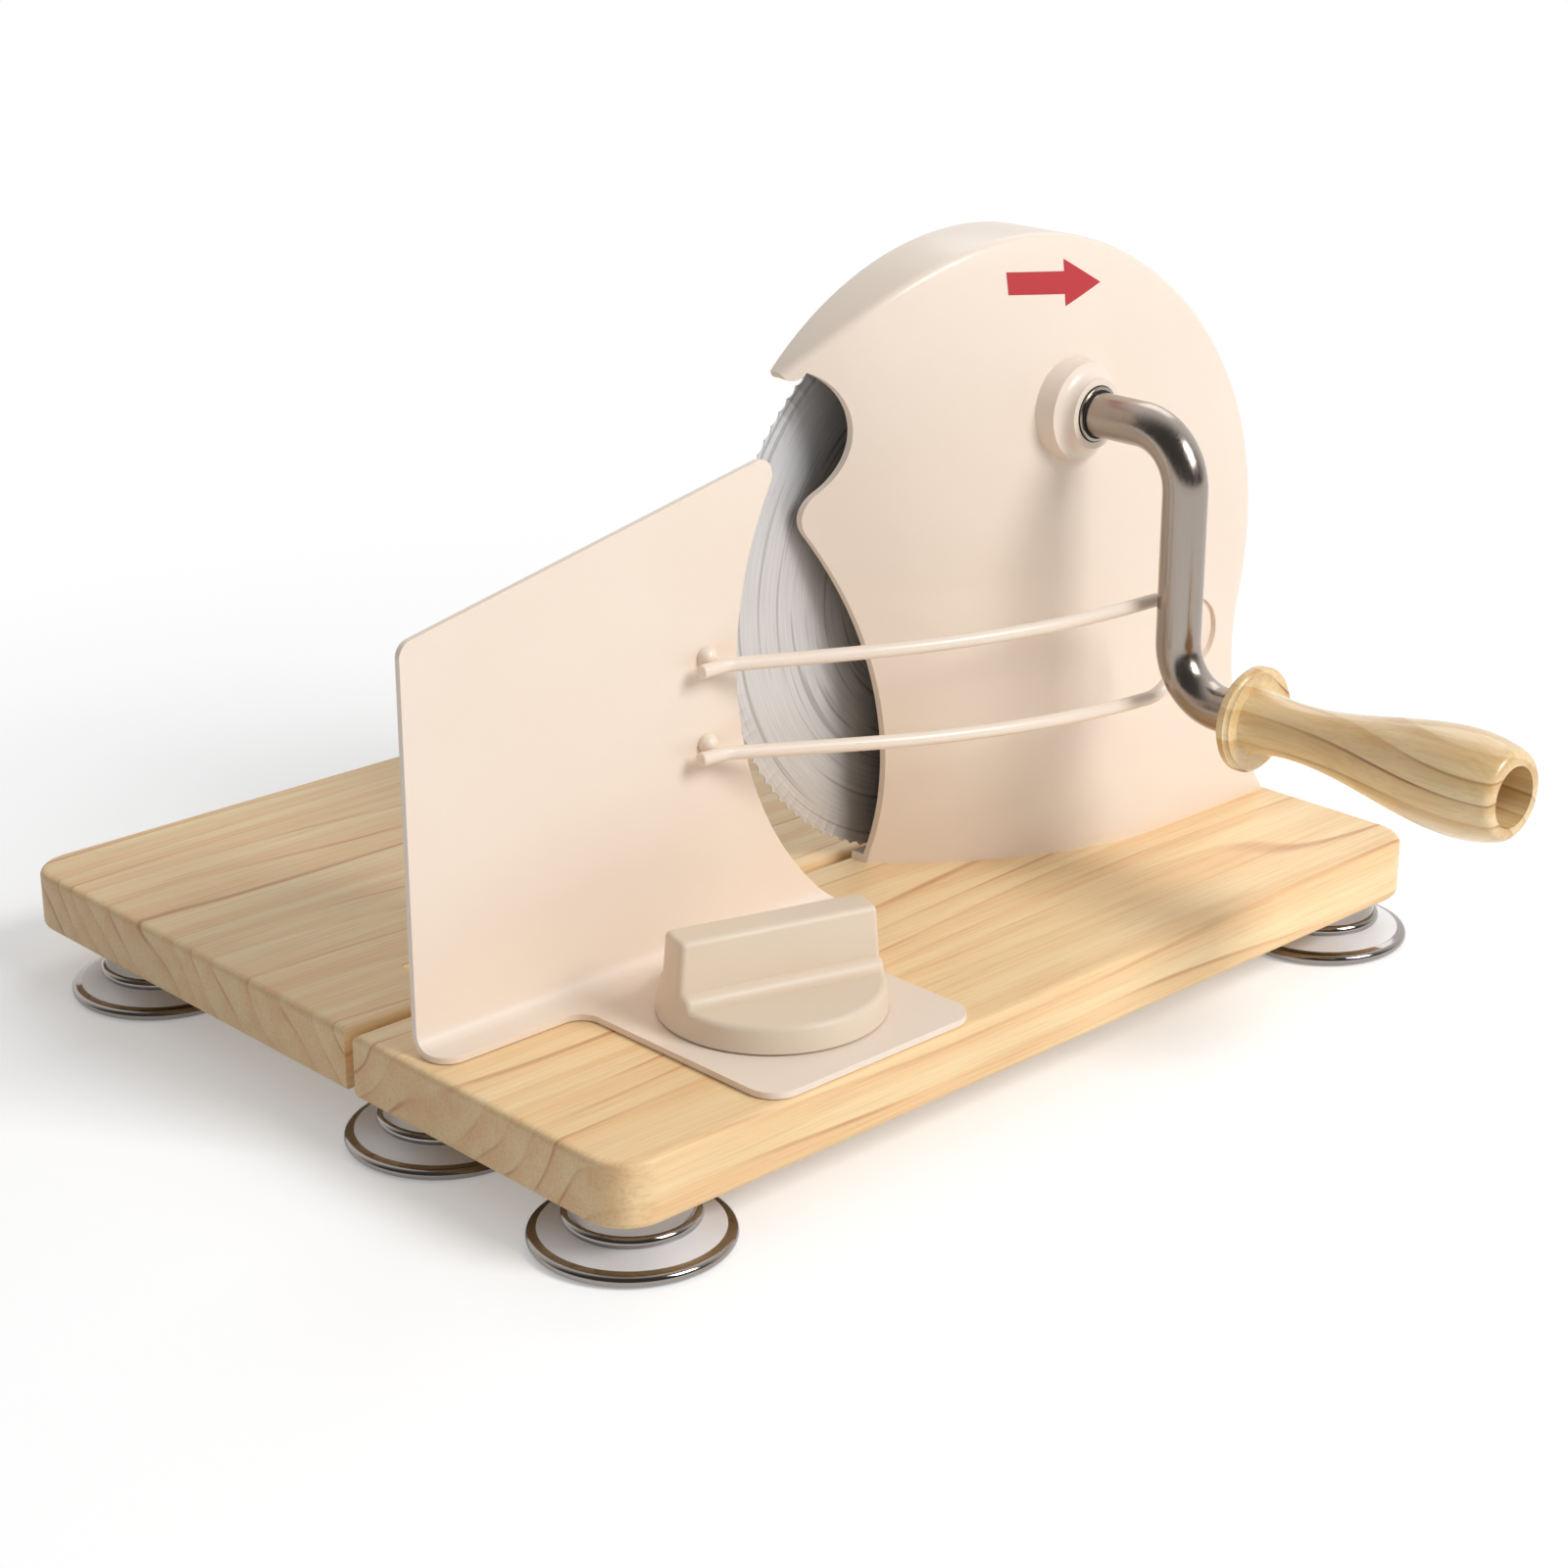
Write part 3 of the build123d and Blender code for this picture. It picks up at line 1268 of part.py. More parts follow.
def build_nodes():
    """Every piece in bench coordinates, by node name."""
    front_feet, feed_feet = foot_places()
    pieces = {
        "front_board": front_board(),
        "feed_board": feed_board(),
        "casing_shell": casing_shell(),
        "gear_cover": gear_cover(),
        "cover_screws": group([cover_screw(x, z) for x, z in cover_post_places()]),
        "casing_screws": group([casing_screw(x) for x in casing_screw_xs]),
        "crank_bush": crank_bush(),
        "crank_rod": crank_rod(),
        "crank_gear": crank_gear(),
        "gear_screw": gear_screw(),
        "wooden_handle": wooden_handle(),
        "handle_washer": handle_washer(),
        "handle_screw": handle_screw(),
        "blade_axle": blade_axle(),
        "axle_screw": axle_screw(),
        "blade_pinion": blade_pinion(),
        "blade_disc": blade_disc(),
        "blade_clamp_plate": blade_clamp_plate(),
        "blade_screws": group([blade_screw(x, z) for x, z in blade_screw_places()]),
        "guide_plate": guide_plate(),
        "guide_keys": group([guide_key(x) for x in guide_key_xs()]),
        "wire_rivets": group([wire_rivet(z) for z in (wire_upper_z, wire_lower_z)]),
        "guide_wire": guide_wire(),
        "thickness_knob": thickness_knob(),
        "knob_pinion": knob_pinion(),
        "knob_spindle": knob_spindle(),
        "knob_screw": knob_screw(),
        "hinge_screws_front": group([countersunk_screw(x, y) for x, y in hinge_screw_places(-1)]),
        "hinge_screws_feed": group([countersunk_screw(x, y) for x, y in hinge_screw_places(1)]),
    }
    for name, x in hinge_places():
        pieces[f"hinge_leaf_front_{name}"] = hinge_leaf(x, -1)
        pieces[f"hinge_leaf_feed_{name}"] = hinge_leaf(x, 1)
        pieces[f"hinge_pin_{name}"] = hinge_pin(x)
    for feet, lift in ((front_feet, 0), (feed_feet, feed_board_relief)):
        for name, x, y in feet:
            under = Pos(x, y, -board_thickness)
            pieces[f"foot_shell_{name}"] = under * foot_shell(lift)
            pieces[f"foot_pad_{name}"] = under * foot_pad(lift)
    for group_name, feet in (("front", front_feet), ("feed", feed_feet)):
        pieces[f"foot_screws_{group_name}"] = group(
            [Pos(x, y, -board_thickness) * foot_screw() for _, x, y in feet]
        )
    return pieces


def write_parts():
    """Move every piece to the slicer's own origin and write it to its file."""
    os.makedirs("parts", exist_ok=True)
    to_origin = Pos(-board_length / 2, -middle_y, board_thickness + foot_height)
    for name, piece in build_nodes().items():
        export_step(to_origin * piece, f"parts/{name}.step")


write_parts()
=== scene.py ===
"""Looks of a hand cranked bread slicer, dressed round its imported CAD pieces.

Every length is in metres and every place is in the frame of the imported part: +X runs along the
boards towards the casing's straight side, +Y from the crank's handle towards the feed board, +Z up.
"""
import logging
import math
from collections.abc import Iterator
from contextlib import contextmanager
from dataclasses import dataclass, field
from enum import Enum
from functools import cached_property

import bmesh
import bpy
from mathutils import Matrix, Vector
from mathutils.bvhtree import BVHTree


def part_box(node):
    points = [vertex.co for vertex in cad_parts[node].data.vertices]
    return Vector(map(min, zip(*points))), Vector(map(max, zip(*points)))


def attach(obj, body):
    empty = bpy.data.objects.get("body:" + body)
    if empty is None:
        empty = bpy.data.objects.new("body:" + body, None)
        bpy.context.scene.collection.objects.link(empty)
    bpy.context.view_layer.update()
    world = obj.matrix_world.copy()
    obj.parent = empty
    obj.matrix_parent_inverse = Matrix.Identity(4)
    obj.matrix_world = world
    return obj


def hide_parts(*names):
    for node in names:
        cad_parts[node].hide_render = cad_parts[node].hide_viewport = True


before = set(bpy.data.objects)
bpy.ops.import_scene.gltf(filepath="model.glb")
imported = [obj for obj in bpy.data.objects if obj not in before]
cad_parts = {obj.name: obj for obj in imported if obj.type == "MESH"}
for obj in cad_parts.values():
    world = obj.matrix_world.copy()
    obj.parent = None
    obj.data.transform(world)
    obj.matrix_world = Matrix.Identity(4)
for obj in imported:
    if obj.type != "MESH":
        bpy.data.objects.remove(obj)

LOG = logging.getLogger("bread_slicer")

Colour = tuple[float, float, float, float]
Place = tuple[float, float, float]
Span = tuple[float, float]
Socket = bpy.types.NodeSocket
Sockets = bpy.types.bpy_prop_collection
Tree = bpy.types.NodeTree
Piece = bpy.types.Object

FLOAT = "NodeSocketFloat"
VECTOR = "NodeSocketVector"
WHOLE = "NodeSocketInt"
OBJECT = "NodeSocketObject"
MATERIAL = "NodeSocketMaterial"
GEOMETRY = "NodeSocketGeometry"

UP: Place = (0.0, 0.0, 1.0)
DOWN: Place = (0.0, 0.0, -1.0)
FRONT: Place = (0.0, -1.0, 0.0)
BACK: Place = (0.0, 1.0, 0.0)

NOISE_RANGE: Span = (0.3, 0.7)  # holds most values of a noise texture
SHARP_ANGLE = 35.0  # degrees from which an edge stays sharp
FLAT_ANGLE = 0.3  # degrees within which triangles count as one flat face
SOFT_ANGLE = 50.0  # degrees from which an edge is softened
SOFT_SEGMENTS = 2
MERGE_DISTANCE = 0.000002
RECESS_SHARE = 0.2  # width of a cross recess as a share of its length


def from_screen(red: int, green: int, blue: int) -> Colour:
    """Turn a colour as a screen shows it into the linear colour that a shader takes.

    Args:
        red: Red part, 0 to 255.
        green: Green part, 0 to 255.
        blue: Blue part, 0 to 255.

    Returns:
        The linear colour with full alpha.
    """
    def linear(part: int) -> float:
        """Undo the screen's curve for one part."""
        share = part / 255
        return share / 12.92 if share <= 0.04045 else ((share + 0.055) / 1.055) ** 2.4

    return linear(red), linear(green), linear(blue), 1.0


def grey(level: float) -> Colour:
    """Return an even grey of this linear level."""
    return level, level, level, 1.0


class Along(Enum):
    """Direction that a grain or a brushing runs in, as the turn that brings it to local X."""

    X = (0.0, 0.0, 0.0)
    Y = (0.0, 0.0, -math.pi / 2)
    Z = (0.0, math.pi / 2, 0.0)


# ---------------------------------------------------------------- node helpers
@dataclass
class NodeSheet:
    """Adds nodes to one tree, so that a finish or a shape reads as a list of steps.

    Wherever a method takes a value, a source socket does as well.
    """

    tree: Tree

    def add(self, kind: str, values: dict | None = None, **settings: object) -> bpy.types.Node:
        """Add one node.

        Args:
            kind: Blender's name of the node type.
            values: Input values, by input name or index.
            settings: Properties of the node itself.

        Returns:
            The new node.
        """
        node = self.tree.nodes.new(kind)
        for name, setting in settings.items():
            setattr(node, name, setting)
        self.feed(node, values or {})
        return node

    def feed(self, node: bpy.types.Node, values: dict) -> None:
        """Link or set inputs of one node.

        Args:
            node: Node that takes the values.
            values: Input values, by input name or index.
        """
        for key, value in values.items():
            if isinstance(value, Socket):
                self.tree.links.new(value, node.inputs[key])
            else:
                node.inputs[key].default_value = value

    def maths(self, operation: str, first: object, second: object = 0.0) -> Socket:
        """Add a Math node and return its result."""
        return self.add("ShaderNodeMath", {0: first, 1: second}, operation=operation).outputs[0]

    def plus(self, first: object, second: object) -> Socket:
        """Add two values."""
        return self.maths("ADD", first, second)

    def minus(self, first: object, second: object) -> Socket:
        """Take the second value from the first."""
        return self.maths("SUBTRACT", first, second)

    def times(self, first: object, second: object) -> Socket:
        """Multiply two values."""
        return self.maths("MULTIPLY", first, second)

    def spread(self, source: object, span: Span, start: float = 0.0, end: float = 1.0) -> Socket:
        """Map a value smoothly from one range to another.

        Args:
            source: Value to map.
            span: Source values that give start and end.
            start: Result at and below the span.
            end: Result at and above the span.

        Returns:
            The result socket.
        """
        values = {0: source, 1: span[0], 2: span[1], 3: start, 4: end}
        return self.add("ShaderNodeMapRange", values, interpolation_type="SMOOTHSTEP").outputs[0]

    def hump(self, source: Socket, rise: Span, fall: Span) -> Socket:
        """Rise from 0 to 1 over one range of the source and fall back over another."""
        return self.times(self.spread(source, rise), self.spread(source, fall, 1.0, 0.0))

    def noise(self, place: Socket, scale: object, detail: float, roughness: float = 0.5) -> Socket:
        """Add a noise texture and return its value."""
        values = {"Vector": place, "Scale": scale, "Detail": detail, "Roughness": roughness}
        return self.add("ShaderNodeTexNoise", values).outputs[0]

    def stretch(self, place: Socket, scale: Place) -> Socket:
        """Scale coordinates axis by axis."""
        return self.add("ShaderNodeMapping", {"Vector": place, "Scale": scale}).outputs[0]

    def axes(self, vector: Socket) -> Sockets:
        """Split a vector into its sockets X, Y and Z."""
        return self.add("ShaderNodeSeparateXYZ", {0: vector}).outputs

    def radius(self, place: Socket) -> Socket:
        """Return the distance of a place from local X."""
        axes = self.axes(place)
        squares = [self.maths("POWER", axes[name], 2.0) for name in "YZ"]
        return self.maths("SQRT", self.plus(*squares))

    def rotated(self, vector: Socket, along: Along) -> Socket:
        """Turn a vector so that this direction comes to local X."""
        values = {"Vector": vector, "Rotation": along.value}
        return self.add("ShaderNodeVectorRotate", values, rotation_type="EULER_XYZ").outputs[0]

    def turned(self, place: Socket, centre: Place, along: Along) -> Socket:
        """Move a pattern to its centre and turn its length to local X."""
        centred = self.add("ShaderNodeVectorMath", {0: place, 1: centre}, operation="SUBTRACT")
        return self.rotated(centred.outputs[0], along)

    def ramp(self, source: Socket, low: Colour, high: Colour, ends: Span = NOISE_RANGE) -> Socket:
        """Add a ramp between two colours.

        Args:
            source: Socket that the ramp reads.
            low: Colour at and below the first end.
            high: Colour at and above the second end.
            ends: Source values of the two colours.

        Returns:
            The ramp's colour socket.
        """
        node = self.add("ShaderNodeValToRGB", {0: source})
        for element, place, colour in zip(node.color_ramp.elements, ends, (low, high)):
            element.position = place
            element.color = colour
        return node.outputs["Color"]

    def mix(self, share: object, first: object, second: object, blend: str = "MIX") -> Socket:
        """Mix two colours and return the result."""
        values = {0: share, 6: first, 7: second}
        return self.add("ShaderNodeMix", values, data_type="RGBA", blend_type=blend).outputs[2]

    def shaded(self, colour: object, shade: object) -> Socket:
        """Multiply a colour by a shade."""
        return self.mix(1.0, colour, shade, "MULTIPLY")

    def bump(self, height: Socket, strength: float, depth: float) -> Socket:
        """Turn a height into a normal."""
        values = {"Strength": strength, "Distance": depth, "Height": height}
        return self.add("ShaderNodeBump", values).outputs[0]

    def group(self, tree: Tree, values: dict) -> Sockets:
        """Use a shader group and return its outputs."""
        return self.add("ShaderNodeGroup", values, node_tree=tree).outputs


def new_group(
    name: str, kind: str, inputs: dict[str, tuple[str, object]], outputs: dict[str, str]
) -> tuple[NodeSheet, Sockets]:
    """Start a node group with named sockets.

    Args:
        name: Name of the group.
        kind: ShaderNodeTree or GeometryNodeTree.
        inputs: Socket type and default value, by input name.
        outputs: Socket type, by output name.

    Returns:
        A sheet on the new group, and the sockets of what it is given.
    """
    tree = bpy.data.node_groups.new(name, kind)
    for socket_name, (socket_kind, value) in inputs.items():
        socket = tree.interface.new_socket(name=socket_name, in_out="INPUT", socket_type=socket_kind)
        if value is not None:
            socket.default_value = value
    for socket_name, socket_kind in outputs.items():
        tree.interface.new_socket(name=socket_name, in_out="OUTPUT", socket_type=socket_kind)
    sheet = NodeSheet(tree)
    return sheet, sheet.add("NodeGroupInput").outputs


def cleared(owner: bpy.types.ID) -> NodeSheet:
    """Empty the nodes of a material or world and return their sheet."""
    owner.use_nodes = True
    owner.node_tree.nodes.clear()
    return NodeSheet(owner.node_tree)


# ---------------------------------------------------------------- shared effects
class Effects:
    """Shader node groups that several finishes share, each built on first use."""

    @cached_property
    def wood_figure(self) -> Tree:
        """Year rings round an axis along local X, with thin late-wood lines and fibres.

        Returns:
            Group with inputs Vector, Ring Spacing, Waviness and Fibre Scale, and outputs Bands,
            Lines, Fibres and Height.
        """
        sheet, given = new_group(
            "WoodFigure", "ShaderNodeTree",
            {
                "Vector": (VECTOR, None),
                "Ring Spacing": (FLOAT, 0.006),
                "Waviness": (FLOAT, 0.006),
                "Fibre Scale": (FLOAT, 1100.0),
            },
            {"Bands": FLOAT, "Lines": FLOAT, "Fibres": FLOAT, "Height": FLOAT},
        )
        drift_scale, streak_scale, fibre_scale = (3.2, 17.0, 17.0), (2.6, 95.0, 95.0), (0.025, 1.0, 1.0)
        late_share, streak_share, line_height = 0.45, 0.55, -0.08
        place = given["Vector"]
        slow = sheet.stretch(place, drift_scale)
        drift = sheet.noise(slow, 1.0, 1.2, 0.35)
        wave = sheet.times(sheet.minus(drift, 0.5), given["Waviness"])
        radius = sheet.plus(sheet.radius(place), wave)
        ring = sheet.maths("FRACT", sheet.maths("DIVIDE", radius, given["Ring Spacing"]))
        late = sheet.hump(ring, (0.2, 0.85), (0.9, 1.0))
        streak = sheet.noise(sheet.stretch(place, streak_scale), 1.0, 3.0, 0.6)
        streaks = sheet.spread(streak, (0.34, 0.66))
        bands = sheet.plus(sheet.times(late, late_share), sheet.times(streaks, streak_share))
        edge = sheet.hump(ring, (0.78, 0.9), (0.91, 0.97))
        strength = sheet.spread(sheet.noise(slow, 3.1, 1.0), (0.42, 0.72), 0.05, 1.0)
        lines = sheet.times(edge, strength)
        fibre = sheet.noise(sheet.stretch(place, fibre_scale), given["Fibre Scale"], 2.5, 0.6)
        height = sheet.plus(sheet.times(lines, line_height), fibre)
        sheet.add("NodeGroupOutput", {"Bands": bands, "Lines": lines, "Fibres": fibre, "Height": height})
        return sheet.tree

    @cached_property
    def coat_skin(self) -> Tree:
        """Slight orange peel and slow tone changes of sprayed or moulded surfaces.

        Returns:
            Group with inputs Vector, Peel Scale and Tone Scale, and outputs Tone and Height.
        """
        sheet, given = new_group(
            "CoatSkin", "ShaderNodeTree",
            {"Vector": (VECTOR, None), "Peel Scale": (FLOAT, 700.0), "Tone Scale": (FLOAT, 14.0)},
            {"Tone": FLOAT, "Height": FLOAT},
        )
        peel = sheet.noise(given["Vector"], given["Peel Scale"], 1.5)
        tone = sheet.noise(given["Vector"], given["Tone Scale"], 3.0)
        sheet.add("NodeGroupOutput", {"Tone": tone, "Height": peel})
        return sheet.tree

    @cached_property
    def tool_marks(self) -> Tree:
        """Fine marks of grinding, either in circles round local X or straight along it.

        Returns:
            Group with inputs Vector, Mark Scale and Circles, and outputs Marks and Scores. Scores
            are the few wider and deeper marks.
        """
        sheet, given = new_group(
            "ToolMarks", "ShaderNodeTree",
            {"Vector": (VECTOR, None), "Mark Scale": (FLOAT, 1500.0), "Circles": (FLOAT, 0.0)},
            {"Marks": FLOAT, "Scores": FLOAT},
        )
        turn_scale, straight_scale, score_scale = 0.002, (0.02, 1.0, 1.0), 0.3
        place = given["Vector"]
        axes = sheet.axes(place)
        turn = sheet.times(sheet.maths("ARCTAN2", axes["Z"], axes["Y"]), turn_scale)
        circles = sheet.add("ShaderNodeCombineXYZ", {"X": turn, "Y": sheet.radius(place)}).outputs[0]
        straight = sheet.stretch(place, straight_scale)
        values = {0: given["Circles"], 4: straight, 5: circles}
        chosen = sheet.add("ShaderNodeMix", values, data_type="VECTOR").outputs[1]
        marks = sheet.noise(chosen, given["Mark Scale"], 3.0)
        few = sheet.noise(chosen, sheet.times(given["Mark Scale"], score_scale), 1.0)
        sheet.add("NodeGroupOutput", {"Marks": marks, "Scores": sheet.spread(few, (0.58, 0.68))})
        return sheet.tree


EFFECTS = Effects()


# ---------------------------------------------------------------- finishes
@dataclass(frozen=True)
class Finish:
    """A surface finish; slot is the record's material slot where it isn't called as the finish."""

    name: str
    slot: str = field(default="", kw_only=True)

    def material(self) -> bpy.types.Material:
        """Make the material of this finish.

        Returns:
            A new material with a Principled shader.
        """
        material = bpy.data.materials.new(self.name)
        sheet = cleared(material)
        shader = sheet.add("ShaderNodeBsdfPrincipled")
        sheet.add("ShaderNodeOutputMaterial", {"Surface": shader.outputs[0]})
        sheet.feed(shader, self.surface(sheet, sheet.add("ShaderNodeTexCoord").outputs["Object"]))
        return material

    def surface(self, sheet: NodeSheet, place: Socket) -> dict[str, object]:
        """Work out what the shader is fed.

        Args:
            sheet: Sheet of the material.
            place: Object coordinates.

        Returns:
            Values of the shader's inputs, by name.
        """
        raise NotImplementedError(self.name)


@dataclass(frozen=True)
class CoatFinish(Finish):
    """Enamel, moulded plastic or rubber: one colour with a faint skin."""

    colour: Colour
    deeper: Colour
    roughness: float = 0.4
    peel_scale: float = 700.0
    peel_strength: float = 0.22
    peel_depth: float = 0.00006
    coat: float = 0.0
    coat_roughness: float = 0.14

    def surface(self, sheet: NodeSheet, place: Socket) -> dict[str, object]:
        """Give the enamel or plastic its tone and its skin.

        Args:
            sheet: Sheet of the material.
            place: Object coordinates.

        Returns:
            Values of the shader's inputs, by name.
        """
        skin = sheet.group(EFFECTS.coat_skin, {"Vector": place, "Peel Scale": self.peel_scale})
        low, high = self.roughness - 0.04, self.roughness + 0.05
        return {
            "Base Color": sheet.ramp(skin["Tone"], self.colour, self.deeper),
            "Roughness": sheet.spread(skin["Tone"], NOISE_RANGE, low, high),
            "Coat Weight": self.coat,
            "Coat Roughness": self.coat_roughness,
            "Normal": sheet.bump(skin["Height"], self.peel_strength, self.peel_depth),
        }


@dataclass(frozen=True)
class WoodFinish(Finish):
    """Planed or turned wood: its long faces show streaks and its sawn ends show arcs."""

    light: Colour
    band: Colour
    line: Colour
    along: Along
    trunk: Place
    ring_spacing: float
    waviness: float
    # Darkening of the faces along the grain: the end grain's own tone plus painted shade of the ends.
    end_grain_and_shade: float = 0.8
    roughness: float = 0.5
    coat: float = 0.0
    coat_roughness: float = 0.13
    fibre_shade: Colour = (0.90, 0.87, 0.83, 1.0)
    fibre_ends: Span = (0.3, 0.55)
    slow_shade: Colour = (0.93, 0.90, 0.87, 1.0)
    slow_light: Colour = (1.02, 1.02, 1.02, 1.0)
    slow_scale: float = 11.0
    sawn_ends: Span = (0.45, 0.9)
    pore_strength: float = 0.12
    pore_depth: float = 0.0001

    def surface(self, sheet: NodeSheet, place: Socket) -> dict[str, object]:
        """Give the wood its figure, darker on the faces that look along the grain: partly the end grain's
        own tone, partly painted shade of the ends.

        Args:
            sheet: Sheet of the material.
            place: Object coordinates.

        Returns:
            Values of the shader's inputs, by name.
        """
        turned = sheet.turned(place, self.trunk, self.along)
        values = {"Vector": turned, "Ring Spacing": self.ring_spacing, "Waviness": self.waviness}
        figure = sheet.group(EFFECTS.wood_figure, values)
        body = sheet.mix(figure["Bands"], self.light, self.band)
        body = sheet.mix(figure["Lines"], body, self.line)
        fibre = sheet.ramp(figure["Fibres"], self.fibre_shade, grey(1.0), self.fibre_ends)
        tint = sheet.ramp(sheet.noise(place, self.slow_scale, 2.0), self.slow_shade, self.slow_light)
        colour = sheet.shaded(sheet.shaded(body, fibre), tint)
        # Faces that look along the grain are darkened: end grain tone and painted shade together.
        facing = sheet.rotated(sheet.add("ShaderNodeTexCoord").outputs["Normal"], self.along)
        sawn = sheet.spread(sheet.maths("ABSOLUTE", sheet.axes(facing)["X"]), self.sawn_ends)
        shade = self.end_grain_and_shade
        darker_ends = sheet.shaded(colour, (shade, shade * 0.975, shade * 0.95, 1.0))
        low, high = self.roughness + 0.08, self.roughness - 0.05
        return {
            "Base Color": sheet.mix(sawn, colour, darker_ends),
            "Roughness": sheet.spread(figure["Fibres"], NOISE_RANGE, low, high),
            "Coat Weight": self.coat,
            "Coat Roughness": self.coat_roughness,
            "Normal": sheet.bump(figure["Height"], self.pore_strength, self.pore_depth),
        }


@dataclass(frozen=True)
class MetalFinish(Finish):
    """Steel or brass with its grinding or polishing marks."""

    colour: Colour
    roughness: float
    along: Along = Along.X
    centre: Place = (0.0, 0.0, 0.0)
    circles: bool = False
    mark_scale: float = 1500.0
    mark_share: float = 0.12
    mark_strength: float = 0.12
    mark_depth: float = 0.00003
    score_share: float = 0.0
    metallic: float = 1.0

    def surface(self, sheet: NodeSheet, place: Socket) -> dict[str, object]:
        """Give the metal its marks.

        Args:
            sheet: Sheet of the material.
            place: Object coordinates.

        Returns:
            Values of the shader's inputs, by name.
        """
        turned = sheet.turned(place, self.centre, self.along)
        values = {"Vector": turned, "Mark Scale": self.mark_scale, "Circles": float(self.circles)}
        marks = sheet.group(EFFECTS.tool_marks, values)
        shade = sheet.ramp(marks["Marks"], grey(1.0 - self.mark_share), grey(1.0))
        colour = sheet.shaded(self.colour, shade)
        scored = sheet.shaded(colour, grey(1.0 - self.score_share))
        low, high = self.roughness * 0.85, self.roughness * 1.2
        return {
            "Base Color": sheet.mix(marks["Scores"], colour, scored),
            "Roughness": sheet.spread(marks["Marks"], NOISE_RANGE, low, high),
            "Metallic": self.metallic,
            "Normal": sheet.bump(marks["Marks"], self.mark_strength, self.mark_depth),
        }


@dataclass(frozen=True)
class FootFinish(Finish):
    """Plated steel of the feet: satin on the cone, polished on the neck and the rolled rim."""

    satin: Colour
    polished: Colour
    cone_top: float
    cone_bottom: float
    roughness: Span = (0.1, 0.5)
    metallic: Span = (1.0, 0.3)
    skin_scale: float = 2500.0
    skin_shade: float = 0.94
    skin_strength: float = 0.08
    skin_depth: float = 0.00002

    def surface(self, sheet: NodeSheet, place: Socket) -> dict[str, object]:
        """Give the plating its two tones, from the height on the foot.

        Args:
            sheet: Sheet of the material.
            place: Object coordinates.

        Returns:
            Values of the shader's inputs, by name.
        """
        height = sheet.axes(place)["Z"]
        below = sheet.maths("LESS_THAN", height, self.cone_top)
        on_cone = sheet.times(below, sheet.maths("GREATER_THAN", height, self.cone_bottom))
        skin = sheet.group(EFFECTS.coat_skin, {"Vector": place, "Peel Scale": self.skin_scale})
        tone = sheet.ramp(skin["Tone"], grey(self.skin_shade), grey(1.0))
        plating = sheet.mix(on_cone, self.polished, self.satin)
        return {
            "Base Color": sheet.shaded(plating, tone),
            "Roughness": sheet.spread(on_cone, (0.0, 1.0), *self.roughness),
            "Metallic": sheet.spread(on_cone, (0.0, 1.0), *self.metallic),
            "Normal": sheet.bump(skin["Height"], self.skin_strength, self.skin_depth),
        }


CREAM = CoatFinish(
    "cream_enamel", from_screen(244, 228, 212), from_screen(242, 225, 208), roughness=0.38, coat=0.2
)
KNOB_CREAM = CoatFinish(
    "knob_plastic", from_screen(232, 214, 193), from_screen(229, 210, 188),
    roughness=0.42, peel_scale=1400.0, slot="cream_plastic",
)
BLACK = CoatFinish(
    "black_plastic", from_screen(46, 46, 48), from_screen(38, 38, 40), roughness=0.5, peel_scale=1600.0
)
# Rubber of the feet's pads; at the crank bush the same finish paints the shade of the gaps.
RUBBER_AND_GAP_SHADE = CoatFinish(
    "foot_rubber", from_screen(48, 47, 46), from_screen(40, 39, 38), roughness=0.75, peel_scale=2200.0
)
RED = CoatFinish("red_marking", from_screen(192, 50, 55), from_screen(184, 44, 50), roughness=0.45)
DARK_RED = CoatFinish("dark_red_marking", from_screen(128, 30, 36), from_screen(118, 26, 32), roughness=0.45)
CRANK_STEEL = MetalFinish("crank_steel", from_screen(172, 161, 151), 0.22, Along.Z, mark_share=0.05)
GEAR_STEEL = MetalFinish("gear_steel", from_screen(160, 160, 162), 0.36, Along.Y, mark_scale=1200.0)
SCREW_STEEL = MetalFinish("screw_steel", from_screen(188, 187, 188), 0.28, Along.Z, mark_scale=2400.0)
BRASS = MetalFinish("hinge_brass", from_screen(206, 174, 108), 0.34, Along.X, mark_scale=1600.0)


# ---------------------------------------------------------------- pieces
def new_piece(name: str, mesh: bpy.types.Mesh) -> Piece:
    """Put a mesh in the scene as an object of its own."""
    piece = bpy.data.objects.new(name, mesh)
    bpy.context.scene.collection.objects.link(piece)
    return piece


def smooth(mesh: bpy.types.Mesh, sharp_angle: float) -> None:
    """Smooth what is round and keep edges that turn more than sharp_angle degrees."""
    mesh.shade_smooth()
    mesh.set_sharp_from_angle(angle=math.radians(sharp_angle))


@contextmanager
def reshaping(mesh: bpy.types.Mesh) -> Iterator[bmesh.types.BMesh]:
    """Open a mesh for changes and write them back at the end.

    Args:
        mesh: Mesh to change.

    Yields:
        The mesh in its form for changes.
    """
    shape = bmesh.new()
    shape.from_mesh(mesh)
    yield shape
    shape.to_mesh(mesh)
    shape.free()


